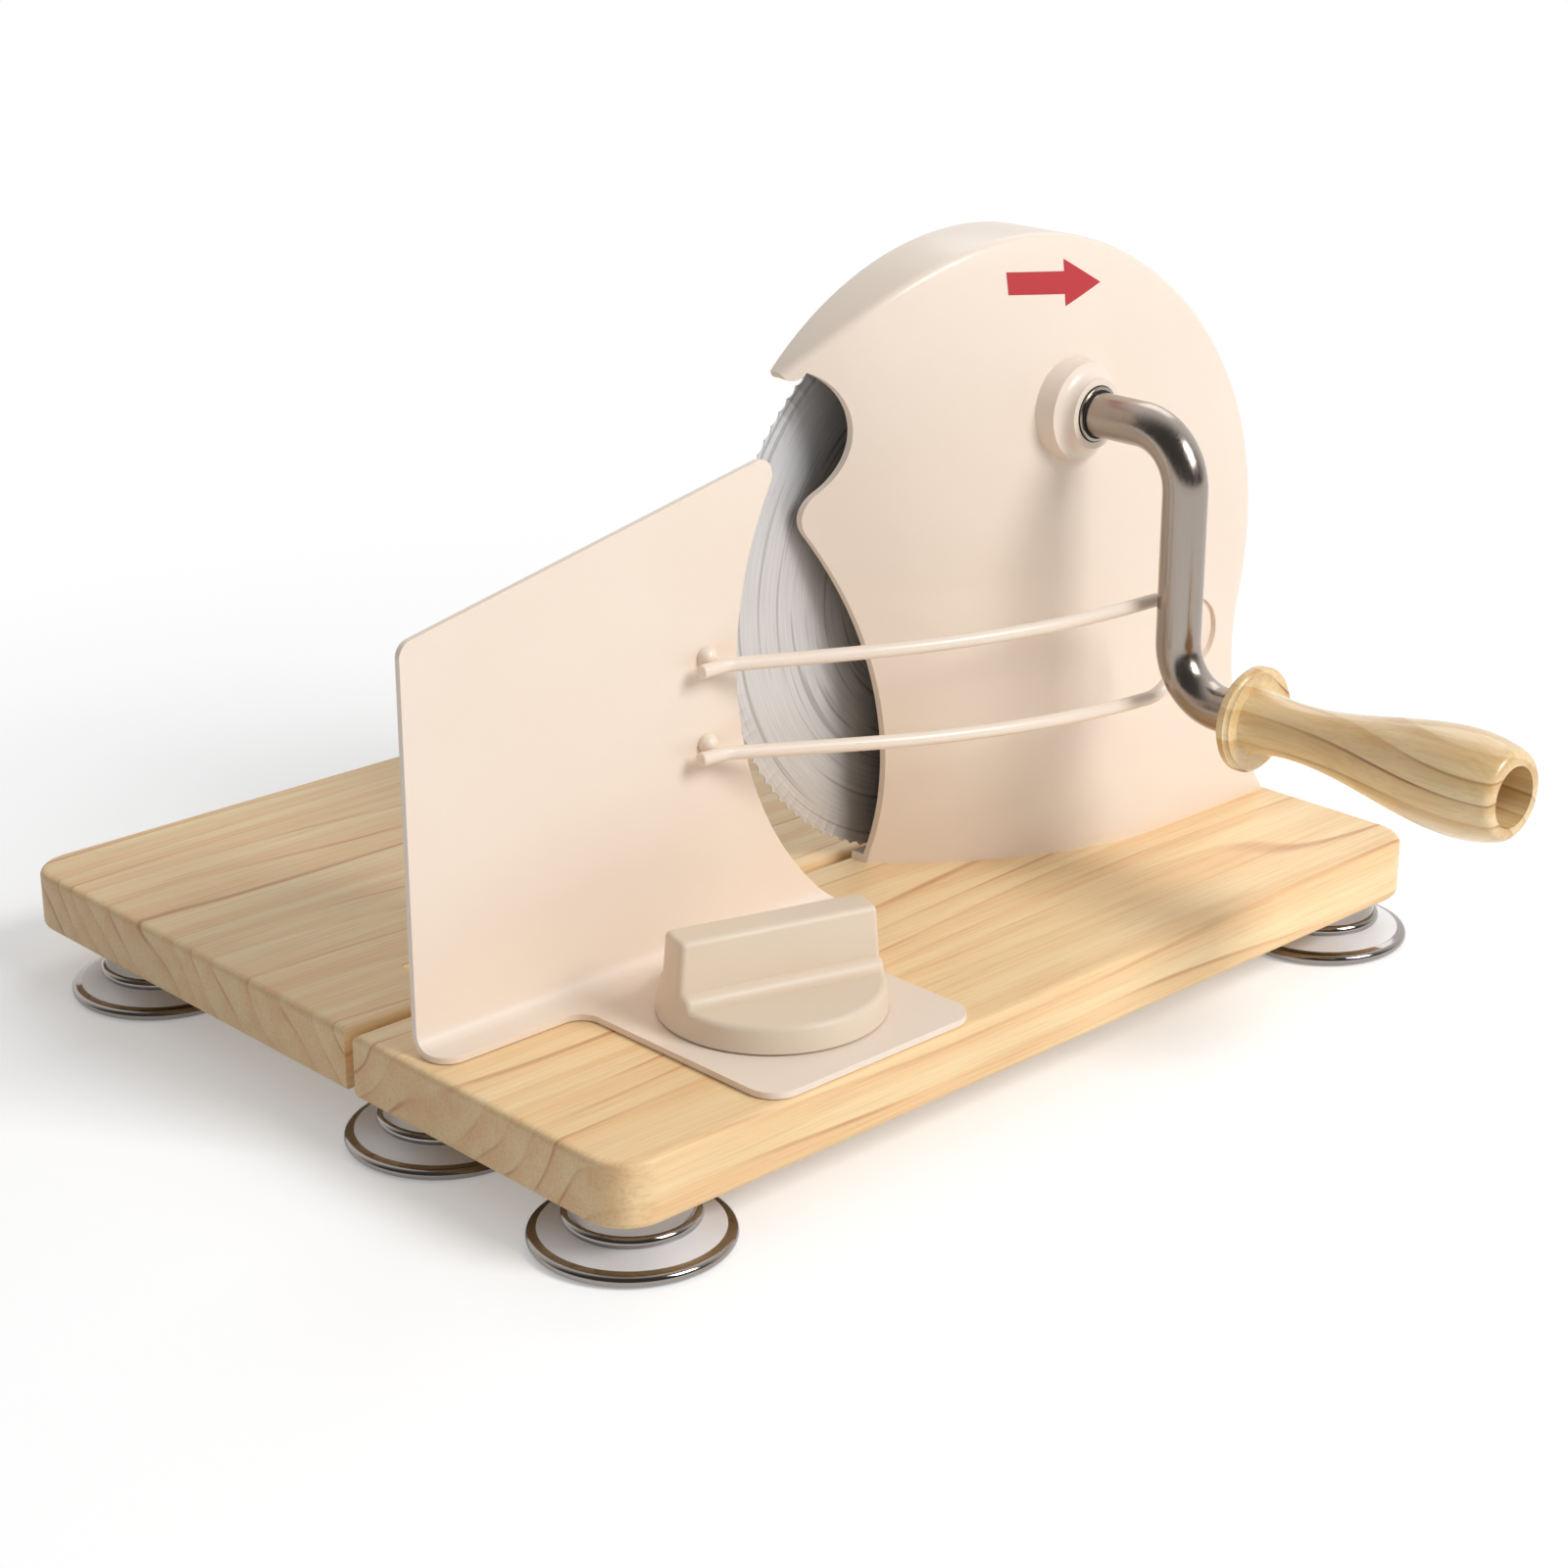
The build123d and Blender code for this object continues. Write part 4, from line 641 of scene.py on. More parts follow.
def finished_copy(
    node: str, name: str, sharp_angle: float = SHARP_ANGLE, flat_faces: bool = False
) -> Piece:
    """Copy a CAD node's mesh, merge its loose triangles and smooth what is round.

    Args:
        node: Name of the CAD node.
        name: Name of the new piece.
        sharp_angle: Edges that turn more than this many degrees stay sharp.
        flat_faces: Join the triangles of each flat face, for a piece whose edges are softened.

    Returns:
        The new piece, in place and linked to the scene.
    """
    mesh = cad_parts[node].data.copy()
    mesh.name = name
    with reshaping(mesh) as shape:
        bmesh.ops.remove_doubles(shape, verts=shape.verts, dist=MERGE_DISTANCE)
        if flat_faces:
            limit = math.radians(FLAT_ANGLE)
            bmesh.ops.dissolve_limit(shape, angle_limit=limit, verts=shape.verts, edges=shape.edges)
    if mesh.has_custom_normals:
        mesh.attributes.remove(mesh.attributes["custom_normal"])
    smooth(mesh, sharp_angle)
    return new_piece(name, mesh)


def dress(piece: Piece, *materials: bpy.types.Material) -> None:
    """Give a piece these materials in place of its own."""
    piece.data.materials.clear()
    for material in materials:
        piece.data.materials.append(material)


class ShapeNodes:
    """Geometry Nodes trees that make what repeats or follows a rule, each built on first use."""

    teeth_steps = 8.0
    blade_rows = 7
    tooth_offset = 0.0005  # keeps the grid's columns off the jump between two teeth

    @staticmethod
    def run(piece: Piece, tree: Tree, values: dict[str, object]) -> None:
        """Shape a piece with a tree and keep the result as its plain mesh.

        Args:
            piece: Object whose mesh the tree starts from.
            tree: Geometry Nodes tree to run.
            values: Input values, by the input's name.
        """
        modifier = piece.modifiers.new(tree.name, "NODES")
        modifier.node_group = tree
        for socket in tree.interface.items_tree:
            if socket.item_type == "SOCKET" and socket.in_out == "INPUT" and socket.name in values:
                modifier[socket.identifier] = values[socket.name]
        depsgraph = bpy.context.evaluated_depsgraph_get()
        mesh = bpy.data.meshes.new_from_object(
            piece.evaluated_get(depsgraph), preserve_all_data_layers=True, depsgraph=depsgraph
        )
        piece.modifiers.remove(modifier)
        mesh.name = piece.name
        piece.data = mesh

    @staticmethod
    def end(sheet: NodeSheet, name: str, shape: Socket, finish: Socket) -> None:
        """End a tree with a plain mesh in its finish.

        Args:
            sheet: Sheet of the tree.
            name: Name of the tree's output.
            shape: Geometry that the tree has made.
            finish: Material to set.
        """
        plain = sheet.add("GeometryNodeRealizeInstances", {"Geometry": shape})
        coated = sheet.add("GeometryNodeSetMaterial", {"Geometry": plain.outputs[0], "Material": finish})
        sheet.add("NodeGroupOutput", {name: coated.outputs[0]})

    @cached_property
    def cross_recess(self) -> Tree:
        """Cut a cross recess into each screw head, each screw stopped at its own angle.

        Returns:
            Tree with inputs Screws, Heads, Facing, Recess Length, Recess Width, Recess Depth, Seed
            and Finish.
        """
        sheet, given = new_group(
            "CrossRecess", "GeometryNodeTree",
            {
                "Screws": (GEOMETRY, None),
                "Heads": (OBJECT, None),
                "Facing": (VECTOR, UP),
                "Recess Length": (FLOAT, 0.004),
                "Recess Width": (FLOAT, 0.0008),
                "Recess Depth": (FLOAT, 0.001),
                "Seed": (WHOLE, 4),
                "Finish": (MATERIAL, None),
            },
            {"Screws": GEOMETRY},
        )
        heads = sheet.add("GeometryNodeObjectInfo", {"Object": given["Heads"]}, transform_space="ORIGINAL")
        facing = sheet.add("FunctionNodeAlignRotationToVector", {"Vector": given["Facing"]}, axis="Z")
        spin = sheet.add("FunctionNodeRandomValue", {"Seed": given["Seed"], 3: math.pi}, data_type="FLOAT")
        turn = sheet.add("ShaderNodeCombineXYZ", {"Z": spin.outputs[1]})
        deep = sheet.times(given["Recess Depth"], 2.0)
        cut = given["Screws"]
        for long_side, short_side in (("X", "Y"), ("Y", "X")):
            sides = {long_side: given["Recess Length"], short_side: given["Recess Width"], "Z": deep}
            size = sheet.add("ShaderNodeCombineXYZ", sides)
            bar = sheet.add("GeometryNodeMeshCube", {"Size": size.outputs[0]})
            values = {"Points": heads.outputs["Geometry"], "Instance": bar.outputs["Mesh"]}
            placed = sheet.add("GeometryNodeInstanceOnPoints", values | {"Rotation": facing.outputs[0]})
            values = {"Instances": placed.outputs[0], "Rotation": turn.outputs[0]}
            spun = sheet.add("GeometryNodeRotateInstances", values)
            bars = sheet.add("GeometryNodeRealizeInstances", {"Geometry": spun.outputs[0]})
            values = {"Mesh 1": cut, "Mesh 2": bars.outputs[0]}
            result = sheet.add("GeometryNodeMeshBoolean", values, operation="DIFFERENCE", solver="EXACT")
            cut = result.outputs["Mesh"]
        self.end(sheet, "Screws", cut, given["Finish"])
        return sheet.tree

    @cached_property
    def ground_blade(self) -> Tree:
        """Bend a grid into a round blade with a ground bevel and a scalloped rim.

        Returns:
            Tree with inputs Start, Centre, Bore Radius, Bevel Radius, Rim Radius, Thickness, Edge
            Thickness, Tooth Count, Tooth Depth, Gullet Reach and Finish.
        """
        sheet, sizes = new_group(
            "GroundBlade", "GeometryNodeTree",
            {
                "Start": (GEOMETRY, None),
                "Centre": (VECTOR, (0.0, 0.0, 0.0)),
                "Bore Radius": (FLOAT, 0.007),
                "Bevel Radius": (FLOAT, 0.088),
                "Rim Radius": (FLOAT, 0.095),
                "Thickness": (FLOAT, 0.0012),
                "Edge Thickness": (FLOAT, 0.0005),
                "Tooth Count": (WHOLE, 120),
                "Tooth Depth": (FLOAT, 0.001),
                "Gullet Reach": (FLOAT, 0.003),
                "Finish": (MATERIAL, None),
            },
            {"Blade": GEOMETRY},
        )
        columns = sheet.plus(sheet.times(sizes["Tooth Count"], self.teeth_steps), 1.0)
        sides = {"Size X": 1.0, "Size Y": 1.0, "Vertices X": columns, "Vertices Y": self.blade_rows}
        grid = sheet.add("GeometryNodeMeshGrid", sides)
        spot = sheet.axes(sheet.add("GeometryNodeInputPosition").outputs[0])
        share = sheet.plus(spot["X"], 0.5)
        row = sheet.maths("ROUND", sheet.times(sheet.plus(spot["Y"], 0.5), self.blade_rows - 1.0))
        passed = sheet.plus(sheet.times(share, sizes["Tooth Count"]), self.tooth_offset)
        middle = sheet.minus(sheet.times(sheet.maths("FRACT", passed), 2.0), 1.0)
        hollow = sheet.minus(1.0, sheet.maths("POWER", middle, 2.0))
        rim = sheet.minus(sizes["Rim Radius"], sheet.times(hollow, sizes["Tooth Depth"]))
        bevel = sheet.minus(sizes["Bevel Radius"], sheet.times(hollow, sizes["Gullet Reach"]))
        half, half_edge = (sheet.times(sizes[name], 0.5) for name in ("Thickness", "Edge Thickness"))
        back, back_edge = sheet.times(half, -1.0), sheet.times(half_edge, -1.0)
        bore = sizes["Bore Radius"]
        radius = self.row_switch(sheet, row, [bore, bevel, rim, rim, bevel, bore, bore])
        depth = self.row_switch(sheet, row, [back, back, back_edge, half_edge, half, half, back])
        angle = sheet.times(share, 2 * math.pi)
        across, high = (sheet.times(radius, sheet.maths(wave, angle)) for wave in ("COSINE", "SINE"))
        bend = sheet.add("ShaderNodeCombineXYZ", {"X": across, "Y": depth, "Z": high})
        values = {0: bend.outputs[0], 1: sizes["Centre"]}
        place = sheet.add("ShaderNodeVectorMath", values, operation="ADD")
        values = {"Geometry": grid.outputs["Mesh"], "Position": place.outputs[0]}
        bent = sheet.add("GeometryNodeSetPosition", values)
        values = {"Geometry": bent.outputs[0], "Distance": MERGE_DISTANCE}
        closed = sheet.add("GeometryNodeMergeByDistance", values)
        self.end(sheet, "Blade", closed.outputs[0], sizes["Finish"])
        return sheet.tree

    @staticmethod
    def row_switch(sheet: NodeSheet, row: Socket, choices: list[object]) -> Socket:
        """Pick one value for each row of a grid.

        Args:
            sheet: Sheet to add the switch to.
            row: Socket with the row's number.
            choices: Value of each row.

        Returns:
            The chosen value's socket.
        """
        switch = sheet.add("GeometryNodeIndexSwitch", data_type="FLOAT")
        while len(switch.index_switch_items) < len(choices):
            switch.index_switch_items.new()
        sheet.feed(switch, {"Index": row} | dict(enumerate(choices, start=1)))
        return switch.outputs[0]


SHAPES = ShapeNodes()


@dataclass(frozen=True)
class ScrewSet:
    """One CAD node of screws, and the cross recess that its heads get."""

    node: str
    body: str
    facing: Place
    length: float
    depth: float

    def heads(self, screws: Piece) -> list[Vector]:
        """Find the outer middle of each screw's head.

        Args:
            screws: Piece that holds the screws as separate islands.

        Returns:
            One point for each screw.
        """
        shape = bmesh.new()
        shape.from_mesh(screws.data)
        facing = Vector(self.facing)
        waiting = set(shape.verts)
        points = []
        while waiting:
            island, border = [], [waiting.pop()]
            while border:
                vert = border.pop()
                island.append(vert.co.copy())
                for edge in vert.link_edges:
                    other = edge.other_vert(vert)
                    if other in waiting:
                        waiting.remove(other)
                        border.append(other)
            middle = (Vector(map(min, *island)) + Vector(map(max, *island))) / 2
            reach = max(point.dot(facing) for point in island)
            points.append(middle + facing * (reach - middle.dot(facing)))
        shape.free()
        return sorted(points, key=lambda point: (round(point.x, 4), point.y, point.z))


@dataclass
class Workshop:
    """Makes each material once and turns CAD nodes into finished pieces."""

    materials: dict[str, bpy.types.Material] = field(default_factory=dict)

    def finish(self, finish: Finish) -> bpy.types.Material:
        """Return the material of a finish, made on first use."""
        if finish.name not in self.materials:
            self.materials[finish.name] = finish.material()
        return self.materials[finish.name]

    def stand_in(
        self, node: str, body: str, finish: Finish, sharp_angle: float = SHARP_ANGLE, bevel: float = 0.0
    ) -> None:
        """Replace a CAD node by a smoothed copy of itself.

        Args:
            node: Name of the CAD node.
            body: CAD body that the piece rides on.
            finish: Finish to give it.
            sharp_angle: Edges that turn more than this many degrees stay sharp.
            bevel: Width of a soft edge, or 0 for none.
        """
        piece = finished_copy(node, node + "_finished", sharp_angle, flat_faces=bevel > 0)
        dress(piece, self.finish(finish))
        if bevel > 0:
            soften = piece.modifiers.new("soft_edges", "BEVEL")
            soften.width = bevel
            soften.segments = SOFT_SEGMENTS
            soften.limit_method = "ANGLE"
            soften.angle_limit = math.radians(SOFT_ANGLE)
            soften.harden_normals = True
        self.hand_over(piece, node, body, finish)
        LOG.info("%s: smoothed, in %s", piece.name, finish.name)

    def screws(self, kind: ScrewSet) -> None:
        """Replace a CAD node of screws by the same screws with cross recesses.

        Args:
            kind: The screws and the recess of their heads.
        """
        piece = finished_copy(kind.node, kind.node + "_finished", flat_faces=True)
        mesh = bpy.data.meshes.new(kind.node + "_heads")
        mesh.from_pydata(kind.heads(piece), [], [])
        heads = new_piece(kind.node + "_heads", mesh)
        values = {
            "Heads": heads,
            "Facing": kind.facing,
            "Recess Length": kind.length,
            "Recess Width": kind.length * RECESS_SHARE,
            "Recess Depth": kind.depth,
            "Finish": self.finish(SCREW_STEEL),
        }
        dress(piece, self.finish(SCREW_STEEL))
        SHAPES.run(piece, SHAPES.cross_recess, values)
        bpy.data.objects.remove(heads)
        smooth(piece.data, SHARP_ANGLE)
        self.hand_over(piece, kind.node, kind.body, SCREW_STEEL)
        LOG.info("%s: cross recesses cut, %d faces", piece.name, len(piece.data.polygons))

    @staticmethod
    def hand_over(piece: Piece, node: str, body: str, finish: Finish) -> None:
        """Let a piece stand for its CAD node.

        Args:
            piece: The finished piece.
            node: Name of the CAD node.
            body: CAD body that the piece rides on.
            finish: Not used.
        """
        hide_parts(node)
        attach(piece, body)


# ---------------------------------------------------------------- studio
def aimed(data: bpy.types.ID, place: Place, ahead: Vector) -> Piece:
    """Put a camera or a lamp in the scene.

    Args:
        data: The camera's or lamp's data.
        place: Where it stands.
        ahead: Direction that it looks in.

    Returns:
        The new object.
    """
    seat = bpy.data.objects.new(data.name, data)
    bpy.context.scene.collection.objects.link(seat)
    seat.rotation_mode = "QUATERNION"
    seat.rotation_quaternion = ahead.to_track_quat("-Z", "Y")
    seat.location = place
    return seat


@dataclass(frozen=True)
class Lamp:
    """Square white soft lamp, its power in watts, that looks at the middle of the slicer."""

    name: str
    place: Place
    side: float
    power: float
    target: Place = (0.0, 0.0, 0.1)

    def light(self) -> None:
        """Put the lamp in the scene."""
        data = bpy.data.lights.new(self.name, "AREA")
        data.shape = "SQUARE"
        data.size = self.side
        data.energy = self.power
        aimed(data, self.place, Vector(self.target) - Vector(self.place))


@dataclass
class Studio:
    """Camera at the photograph's angle, pale floor and soft lamps."""

    camera_place: Place = (-0.63687, -0.64887, 0.41068)
    yaw: float = 43.593
    pitch: float = 20.464
    lens: float = 70.44
    sensor: float = 36.0
    floor_size: float = 12.0
    floor_grey: float = 0.93
    floor_lift: float = 0.27
    floor_fade: Span = (0.26, 0.62)
    sky_light: float = 0.36
    dark_room: float = 0.08
    room_fade: Span = (-0.25, 0.65)
    room_rise: float = 0.25
    lamps: tuple[Lamp, ...] = (
        Lamp("key", (0.55, -1.85, 1.6), 1.0, 39.0),
        Lamp("back", (1.4, 0.8, 1.6), 1.2, 6.0),
    )

    def ahead(self) -> Vector:
        """Return the direction that the camera looks in."""
        yaw, pitch = math.radians(self.yaw), math.radians(self.pitch)
        return Vector((math.sin(yaw) * math.cos(pitch), math.cos(yaw) * math.cos(pitch), -math.sin(pitch)))

    def camera(self) -> None:
        """Make the camera."""
        data = bpy.data.cameras.new("camera")
        data.lens = self.lens
        data.sensor_width = self.sensor
        bpy.context.scene.camera = aimed(data, self.camera_place, self.ahead())

    @staticmethod
    def sees_background(sheet: NodeSheet, glossy: bool) -> Socket:
        """Return 1 for the rays that see the white background, else 0.

        Args:
            sheet: Sheet of the floor's or the world's material.
            glossy: Whether reflections count among them.

        Returns:
            The result socket.
        """
        path = sheet.add("ShaderNodeLightPath").outputs
        seen = sheet.maths("MAXIMUM", path["Is Camera Ray"], path["Is Transmission Ray"])
        return sheet.maths("MAXIMUM", seen, path["Is Glossy Ray"]) if glossy else seen

    def world(self) -> None:
        """Make a soft even sky, white to the eye, and a darker room behind the camera for metal."""
        world = bpy.data.worlds.new("studio")
        sheet = cleared(world)
        far = self.ahead()
        far.z = self.room_rise
        look = sheet.add("ShaderNodeTexCoord").outputs["Generated"]
        values = {0: look, 1: tuple(far.normalized())}
        towards = sheet.add("ShaderNodeVectorMath", values, operation="DOT_PRODUCT").outputs["Value"]
        mirrored = sheet.spread(towards, self.room_fade, self.dark_room, 1.0)
        glossy = sheet.add("ShaderNodeLightPath").outputs["Is Glossy Ray"]
        lit = sheet.times(sheet.minus(1.0, glossy), self.sky_light)
        level = sheet.plus(lit, sheet.times(glossy, mirrored))
        level = sheet.maths("MAXIMUM", level, self.sees_background(sheet, glossy=False))
        sky = sheet.add("ShaderNodeBackground", {"Color": grey(1.0), "Strength": level})
        sheet.add("ShaderNodeOutputWorld", {"Surface": sky.outputs[0]})
        bpy.context.scene.world = world

    def floor(self) -> None:
        """Make the pale floor, which keeps the slicer's shadow and turns white further out."""
        half = self.floor_size / 2
        mesh = bpy.data.meshes.new("floor")
        corners = [(-half, -half, 0.0), (half, -half, 0.0), (half, half, 0.0), (-half, half, 0.0)]
        mesh.from_pydata(corners, [], [(0, 1, 2, 3)])
        floor = new_piece("floor", mesh)
        material = bpy.data.materials.new("floor_paper")
        sheet = cleared(material)
        place = sheet.add("ShaderNodeTexCoord").outputs["Object"]
        distance = sheet.add("ShaderNodeVectorMath", {0: place}, operation="LENGTH").outputs["Value"]
        seen = self.sees_background(sheet, glossy=True)
        far = sheet.times(sheet.spread(distance, self.floor_fade), seen)
        paper = sheet.add("ShaderNodeBsdfDiffuse", {"Color": grey(self.floor_grey)})
        strength = sheet.times(seen, self.floor_lift)
        lift = sheet.add("ShaderNodeEmission", {"Color": grey(1.0), "Strength": strength})
        near = sheet.add("ShaderNodeAddShader", {0: paper.outputs[0], 1: lift.outputs[0]})
        white = sheet.add("ShaderNodeEmission", {"Color": grey(1.0), "Strength": 1.0})
        both = sheet.add("ShaderNodeMixShader", {0: far, 1: near.outputs[0], 2: white.outputs[0]})
        sheet.add("ShaderNodeOutputMaterial", {"Surface": both.outputs[0]})
        mesh.materials.append(material)

    def build(self) -> None:
        """Set up camera, floor, world and lamps."""
        bpy.context.scene.view_settings.view_transform = "Standard"
        self.camera()
        self.world()
        self.floor()
        for lamp in self.lamps:
            lamp.light()
        LOG.info("studio: camera with a %.1f mm lens, %d lamps and a floor", self.lens, len(self.lamps))


# ---------------------------------------------------------------- sub-assemblies
@dataclass
class SubAssembly:
    """A group of pieces that is put together on the bench before it joins the rest."""

    workshop: Workshop

    def build(self) -> None:
        """Dress every piece of the group."""
        raise NotImplementedError(type(self).__name__)


@dataclass
class Base(SubAssembly):
    """The two boards with their hinges and feet."""

    front_feet: tuple[str, ...] = ("front_left", "front_right", "middle_left", "middle_right")
    feed_feet: tuple[str, ...] = ("feed_left", "feed_right")
    foot_top: float = 0.0155
    cone_from_top: Span = (0.0085, 0.0112)

    def board_finish(self, name: str, trunk: Place) -> WoodFinish:
        """Return the pale wood of one board, cut from its own place in the trunk."""
        colours = from_screen(255, 228, 180), from_screen(247, 205, 152), from_screen(216, 164, 120)
        sizes = {"ring_spacing": 0.0115, "waviness": 0.06, "roughness": 0.46}
        return WoodFinish(name, *colours, Along.X, trunk, **sizes, slot="pale_wood")

    def build(self) -> None:
        """Dress boards, hinges and feet."""
        show, screws = self.workshop.stand_in, self.workshop.screws
        show("front_board", "base", self.board_finish("front_board_wood", (0.0, -0.22, -0.13)))
        show("feed_board", "leaf", self.board_finish("feed_board_wood", (0.3, 0.36, -0.15)))
        for side in ("left", "right"):
            show(f"hinge_leaf_front_{side}", "base", BRASS, bevel=0.0002)
            show(f"hinge_leaf_feed_{side}", "leaf", BRASS, bevel=0.0002)
            show(f"hinge_pin_{side}", "base", SCREW_STEEL, bevel=0.0003)
        screws(ScrewSet("hinge_screws_front", "base", UP, 0.0034, 0.0007))
        screws(ScrewSet("hinge_screws_feed", "leaf", UP, 0.0034, 0.0007))
        screws(ScrewSet("foot_screws_front", "base", DOWN, 0.0056, 0.0014))
        screws(ScrewSet("foot_screws_feed", "leaf", DOWN, 0.0056, 0.0014))
        screws(ScrewSet("casing_screws", "base", DOWN, 0.0056, 0.0016))
        cone = (self.foot_top - drop for drop in self.cone_from_top)
        colours = from_screen(238, 237, 239), from_screen(160, 153, 148)
        cap = FootFinish("foot_plating", *colours, *cone, slot="foot_chrome")
        for feet, body in ((self.front_feet, "base"), (self.feed_feet, "leaf")):
            for foot in feet:
                show(f"foot_shell_{foot}", body, cap)
                show(f"foot_pad_{foot}", body, RUBBER_AND_GAP_SHADE)


@dataclass
class Casing(SubAssembly):
    """Bowed casing with its red arrow, gear cover, bush, and dark rings of painted shade at the bush."""

    bench_middle_x: float = 0.176
    board_top: float = 0.036
    arrow_tail_x: float = 0.2368
    arrow_tail_z: float = 0.1886
    arrow_neck_x: float = 0.2605
    arrow_neck_z: float = 0.1861
    arrow_head_x: float = 0.2606
    arrow_tip_x: float = 0.2768
    arrow_tip_z: float = 0.1842
    arrow_half_shaft: float = 0.0034
    arrow_half_head: float = 0.0071
    arrow_tail_slant: float = 0.0003
    arrow_neck_slant: float = 0.0006
    arrow_head_slant: float = 0.0011
    arrow_lift: float = 0.00012
    arrow_rim: float = 0.0005
    arrow_cuts: int = 5
    in_front_y: float = -0.3
    # Dark rings of painted shade in the gaps round the rod and round the bush: inner and outer radius, front
    # and back.
    gap_shade_rings: tuple[tuple[float, float, float, float], ...] = (
        (0.00715, 0.00775, -0.0002, 0.0004),
        (0.00865, 0.00905, 0.0007, 0.0012),
    )
    gap_shade_steps: int = 72
    gap_shade_merge: float = 0.000005

    def arrow_outline(self) -> list[tuple[float, float]]:
        """Return the seven corners of the arrow, in turn, as x and z above the boards."""
        neck_x, neck_z, head_x = self.arrow_neck_x, self.arrow_neck_z, self.arrow_head_x
        shaft, head = self.arrow_half_shaft, self.arrow_half_head
        neck_slant, head_slant = self.arrow_neck_slant, self.arrow_head_slant
        return [
            (self.arrow_tail_x, self.arrow_tail_z + shaft),
            (neck_x + neck_slant, neck_z + shaft),
            (head_x + head_slant, neck_z + head),
            (self.arrow_tip_x, self.arrow_tip_z),
            (head_x - head_slant, neck_z - head),
            (neck_x - neck_slant, neck_z - shaft),
            (self.arrow_tail_x - self.arrow_tail_slant, self.arrow_tail_z - shaft),
        ]

    def arrow(self) -> None:
        """Lay the arrow on the bowed front as one thin raised print with a dark rim."""
        shell = finished_copy("casing_shell", "arrow_ground")
        ground = BVHTree.FromObject(shell, bpy.context.evaluated_depsgraph_get())
        bpy.data.objects.remove(shell)
        mesh = bpy.data.meshes.new("arrow_print")
        with reshaping(mesh) as shape:
            corners = [(x - self.bench_middle_x, 0.0, z + self.board_top) for x, z in self.arrow_outline()]
            face = shape.faces.new([shape.verts.new(corner) for corner in corners])
            rim = bmesh.ops.inset_region(shape, faces=[face], thickness=self.arrow_rim, use_even_offset=True)
            for face in rim["faces"]:
                face.material_index = 1
            bmesh.ops.triangulate(shape, faces=shape.faces, ngon_method="BEAUTY")
            bmesh.ops.subdivide_edges(shape, edges=shape.edges, cuts=self.arrow_cuts, use_grid_fill=True)
            for vert in shape.verts:
                start = Vector((vert.co.x, self.in_front_y, vert.co.z))
                hit, normal, _, _ = ground.ray_cast(start, Vector(BACK))
                vert.co = hit + normal * self.arrow_lift
            if sum(face.normal.y for face in shape.faces) > 0:
                bmesh.ops.reverse_faces(shape, faces=shape.faces)
        mesh.shade_smooth()
        piece = new_piece("arrow_print", mesh)
        dress(piece, self.workshop.finish(RED), self.workshop.finish(DARK_RED))
        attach(piece, "base")
        LOG.info("%s: %d faces", piece.name, len(mesh.polygons))

    def bush_seal(self) -> None:
        """Turn dark rings round the rod and round the bush, which paint the shade of the gaps there."""
        low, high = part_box("crank_bush")
        middle_x, middle_z = (low[0] + high[0]) / 2, (low[2] + high[2]) / 2
        mesh = bpy.data.meshes.new("bush_seal")
        with reshaping(mesh) as shape:
            for inner, outer, front, back in self.gap_shade_rings:
                corners = [(inner, front), (outer, front), (outer, back), (inner, back)]
                verts = [
                    shape.verts.new((middle_x + radius, low[1] + depth, middle_z))
                    for radius, depth in corners
                ]
                edges = [shape.edges.new((verts[index - 1], verts[index])) for index in range(len(verts))]
                bmesh.ops.spin(
                    shape, geom=verts + edges, cent=(middle_x, 0.0, middle_z), axis=BACK,
                    angle=2 * math.pi, steps=self.gap_shade_steps, use_duplicate=False,
                )
            bmesh.ops.remove_doubles(shape, verts=shape.verts, dist=self.gap_shade_merge)
            bmesh.ops.recalc_face_normals(shape, faces=shape.faces)
        smooth(mesh, SHARP_ANGLE)
        piece = new_piece("bush_seal", mesh)
        # The dark rubber finish paints the shade of the gaps.
        dress(piece, self.workshop.finish(RUBBER_AND_GAP_SHADE))
        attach(piece, "base")
        LOG.info("%s: %d faces", piece.name, len(mesh.polygons))

    def build(self) -> None:
        """Dress the casing, turn the dark rings of painted gap shade at its bush and lay the arrow on it."""
        self.workshop.stand_in("casing_shell", "base", CREAM, sharp_angle=40.0)
        self.workshop.stand_in("gear_cover", "base", BLACK, bevel=0.0003)
        self.workshop.screws(ScrewSet("cover_screws", "base", BACK, 0.0034, 0.0009))
        self.workshop.stand_in("crank_bush", "base", CRANK_STEEL, bevel=0.0002)
        self.bush_seal()
        self.arrow()


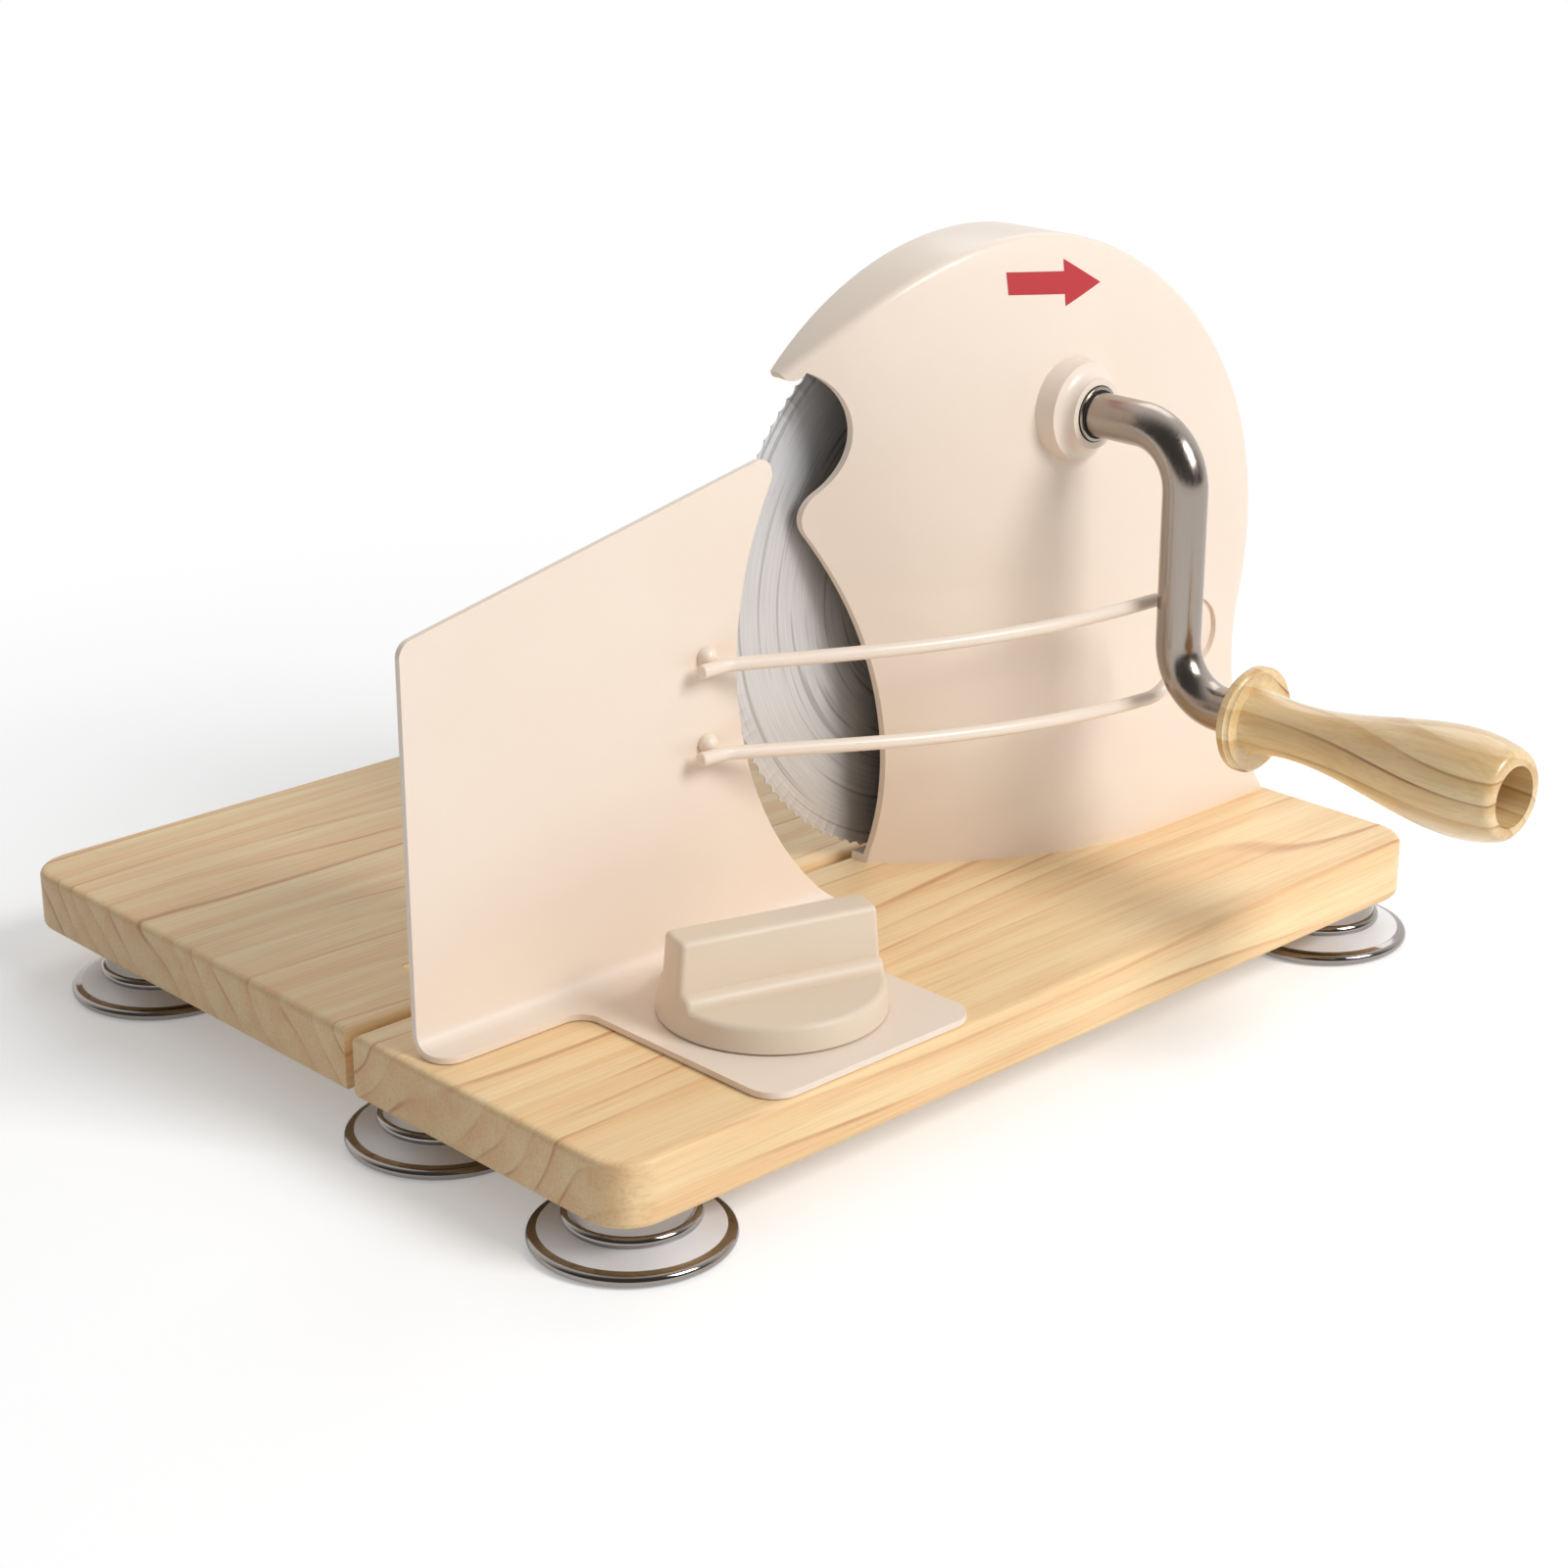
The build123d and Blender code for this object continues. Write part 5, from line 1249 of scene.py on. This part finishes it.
@dataclass
class BladeUnit(SubAssembly):
    """Round blade with its clamp plate, axle and gears."""

    centre: Place = (0.0653, 0.01655, 0.126)
    bore_radius: float = 0.007
    rim_radius: float = 0.095
    bevel_width: float = 0.0045
    thickness: float = 0.0012
    edge_thickness: float = 0.0005
    tooth_count: int = 120
    tooth_depth: float = 0.001
    gullet_reach: float = 0.0025
    sharp_angle: float = 3.0

    def blade(self) -> None:
        """Make the blade, with its teeth ground in, by its rule."""
        low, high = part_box("blade_disc")
        ground = MetalFinish(
            "blade_steel", from_screen(236, 236, 238), 0.46, Along.Y, self.centre,
            circles=True, mark_scale=1600.0, mark_share=0.16, score_share=0.3, metallic=0.55,
        )
        piece = new_piece("blade_disc_ground", bpy.data.meshes.new("blade_disc_ground"))
        values = {
            "Centre": (self.centre[0], (low[1] + high[1]) / 2, self.centre[2]),
            "Bore Radius": self.bore_radius,
            "Bevel Radius": self.rim_radius - self.bevel_width,
            "Rim Radius": self.rim_radius,
            "Thickness": self.thickness,
            "Edge Thickness": self.edge_thickness,
            "Tooth Count": self.tooth_count,
            "Tooth Depth": self.tooth_depth,
            "Gullet Reach": self.gullet_reach,
            "Finish": self.workshop.finish(ground),
        }
        SHAPES.run(piece, SHAPES.ground_blade, values)
        with reshaping(piece.data) as shape:
            bmesh.ops.recalc_face_normals(shape, faces=shape.faces)
        smooth(piece.data, self.sharp_angle)
        self.workshop.hand_over(piece, "blade_disc", "blade", ground)
        LOG.info("%s: %d teeth, %d faces", piece.name, self.tooth_count, len(piece.data.polygons))

    def build(self) -> None:
        """Dress the blade and the gear train."""
        self.blade()
        self.workshop.stand_in("blade_clamp_plate", "blade", GEAR_STEEL, bevel=0.0002)
        self.workshop.stand_in("blade_pinion", "blade", GEAR_STEEL)
        self.workshop.stand_in("blade_axle", "base", GEAR_STEEL, bevel=0.0003)
        self.workshop.stand_in("crank_gear", "crank", GEAR_STEEL)
        self.workshop.screws(ScrewSet("blade_screws", "blade", BACK, 0.0036, 0.0008))
        self.workshop.screws(ScrewSet("axle_screw", "base", BACK, 0.0070, 0.0008))
        self.workshop.screws(ScrewSet("gear_screw", "crank", BACK, 0.0054, 0.0014))


@dataclass
class Guide(SubAssembly):
    """Guide plate with its wire guard, rivets and keys."""

    def build(self) -> None:
        """Dress the plate, wire, rivets and keys."""
        self.workshop.stand_in("guide_plate", "guide", CREAM, bevel=0.0003)
        self.workshop.stand_in("guide_wire", "guide", CREAM)
        self.workshop.stand_in("wire_rivets", "guide", CREAM)
        self.workshop.stand_in("guide_keys", "guide", BLACK, bevel=0.0003)


@dataclass
class Knob(SubAssembly):
    """Thickness knob with its spindle."""

    def build(self) -> None:
        """Dress the knob, its small gear, spindle and screw."""
        self.workshop.stand_in("thickness_knob", "knob", KNOB_CREAM)
        self.workshop.stand_in("knob_pinion", "knob", GEAR_STEEL)
        self.workshop.stand_in("knob_spindle", "knob", GEAR_STEEL, bevel=0.0002)
        self.workshop.screws(ScrewSet("knob_screw", "knob", DOWN, 0.0074, 0.0009))


@dataclass
class Crank(SubAssembly):
    """Bent crank rod with its turned wooden handle."""

    def build(self) -> None:
        """Dress the rod, the handle and what holds it."""
        lacquered = WoodFinish(
            "handle_wood",
            from_screen(246, 222, 174), from_screen(218, 176, 112), from_screen(142, 94, 52),
            Along.Y, (0.045, 0.0, 0.03), ring_spacing=0.0072, waviness=0.042, end_grain_and_shade=0.98,
            roughness=0.34, coat=0.6,
        )
        self.workshop.stand_in("crank_rod", "crank", CRANK_STEEL)
        self.workshop.stand_in("wooden_handle", "grip", lacquered)
        self.workshop.stand_in("handle_washer", "crank", CRANK_STEEL, bevel=0.0002)
        self.workshop.screws(ScrewSet("handle_screw", "crank", FRONT, 0.0058, 0.0018))


def main() -> None:
    """Build the studio and every sub-assembly."""
    logging.basicConfig(level=logging.INFO, format="%(name)s: %(message)s")
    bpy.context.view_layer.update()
    workshop = Workshop()
    Studio().build()
    for kind in (Base, Casing, BladeUnit, Guide, Knob, Crank):
        kind(workshop).build()
    LOG.info("%d materials", len(workshop.materials))


if __name__ == "__main__":
    main()
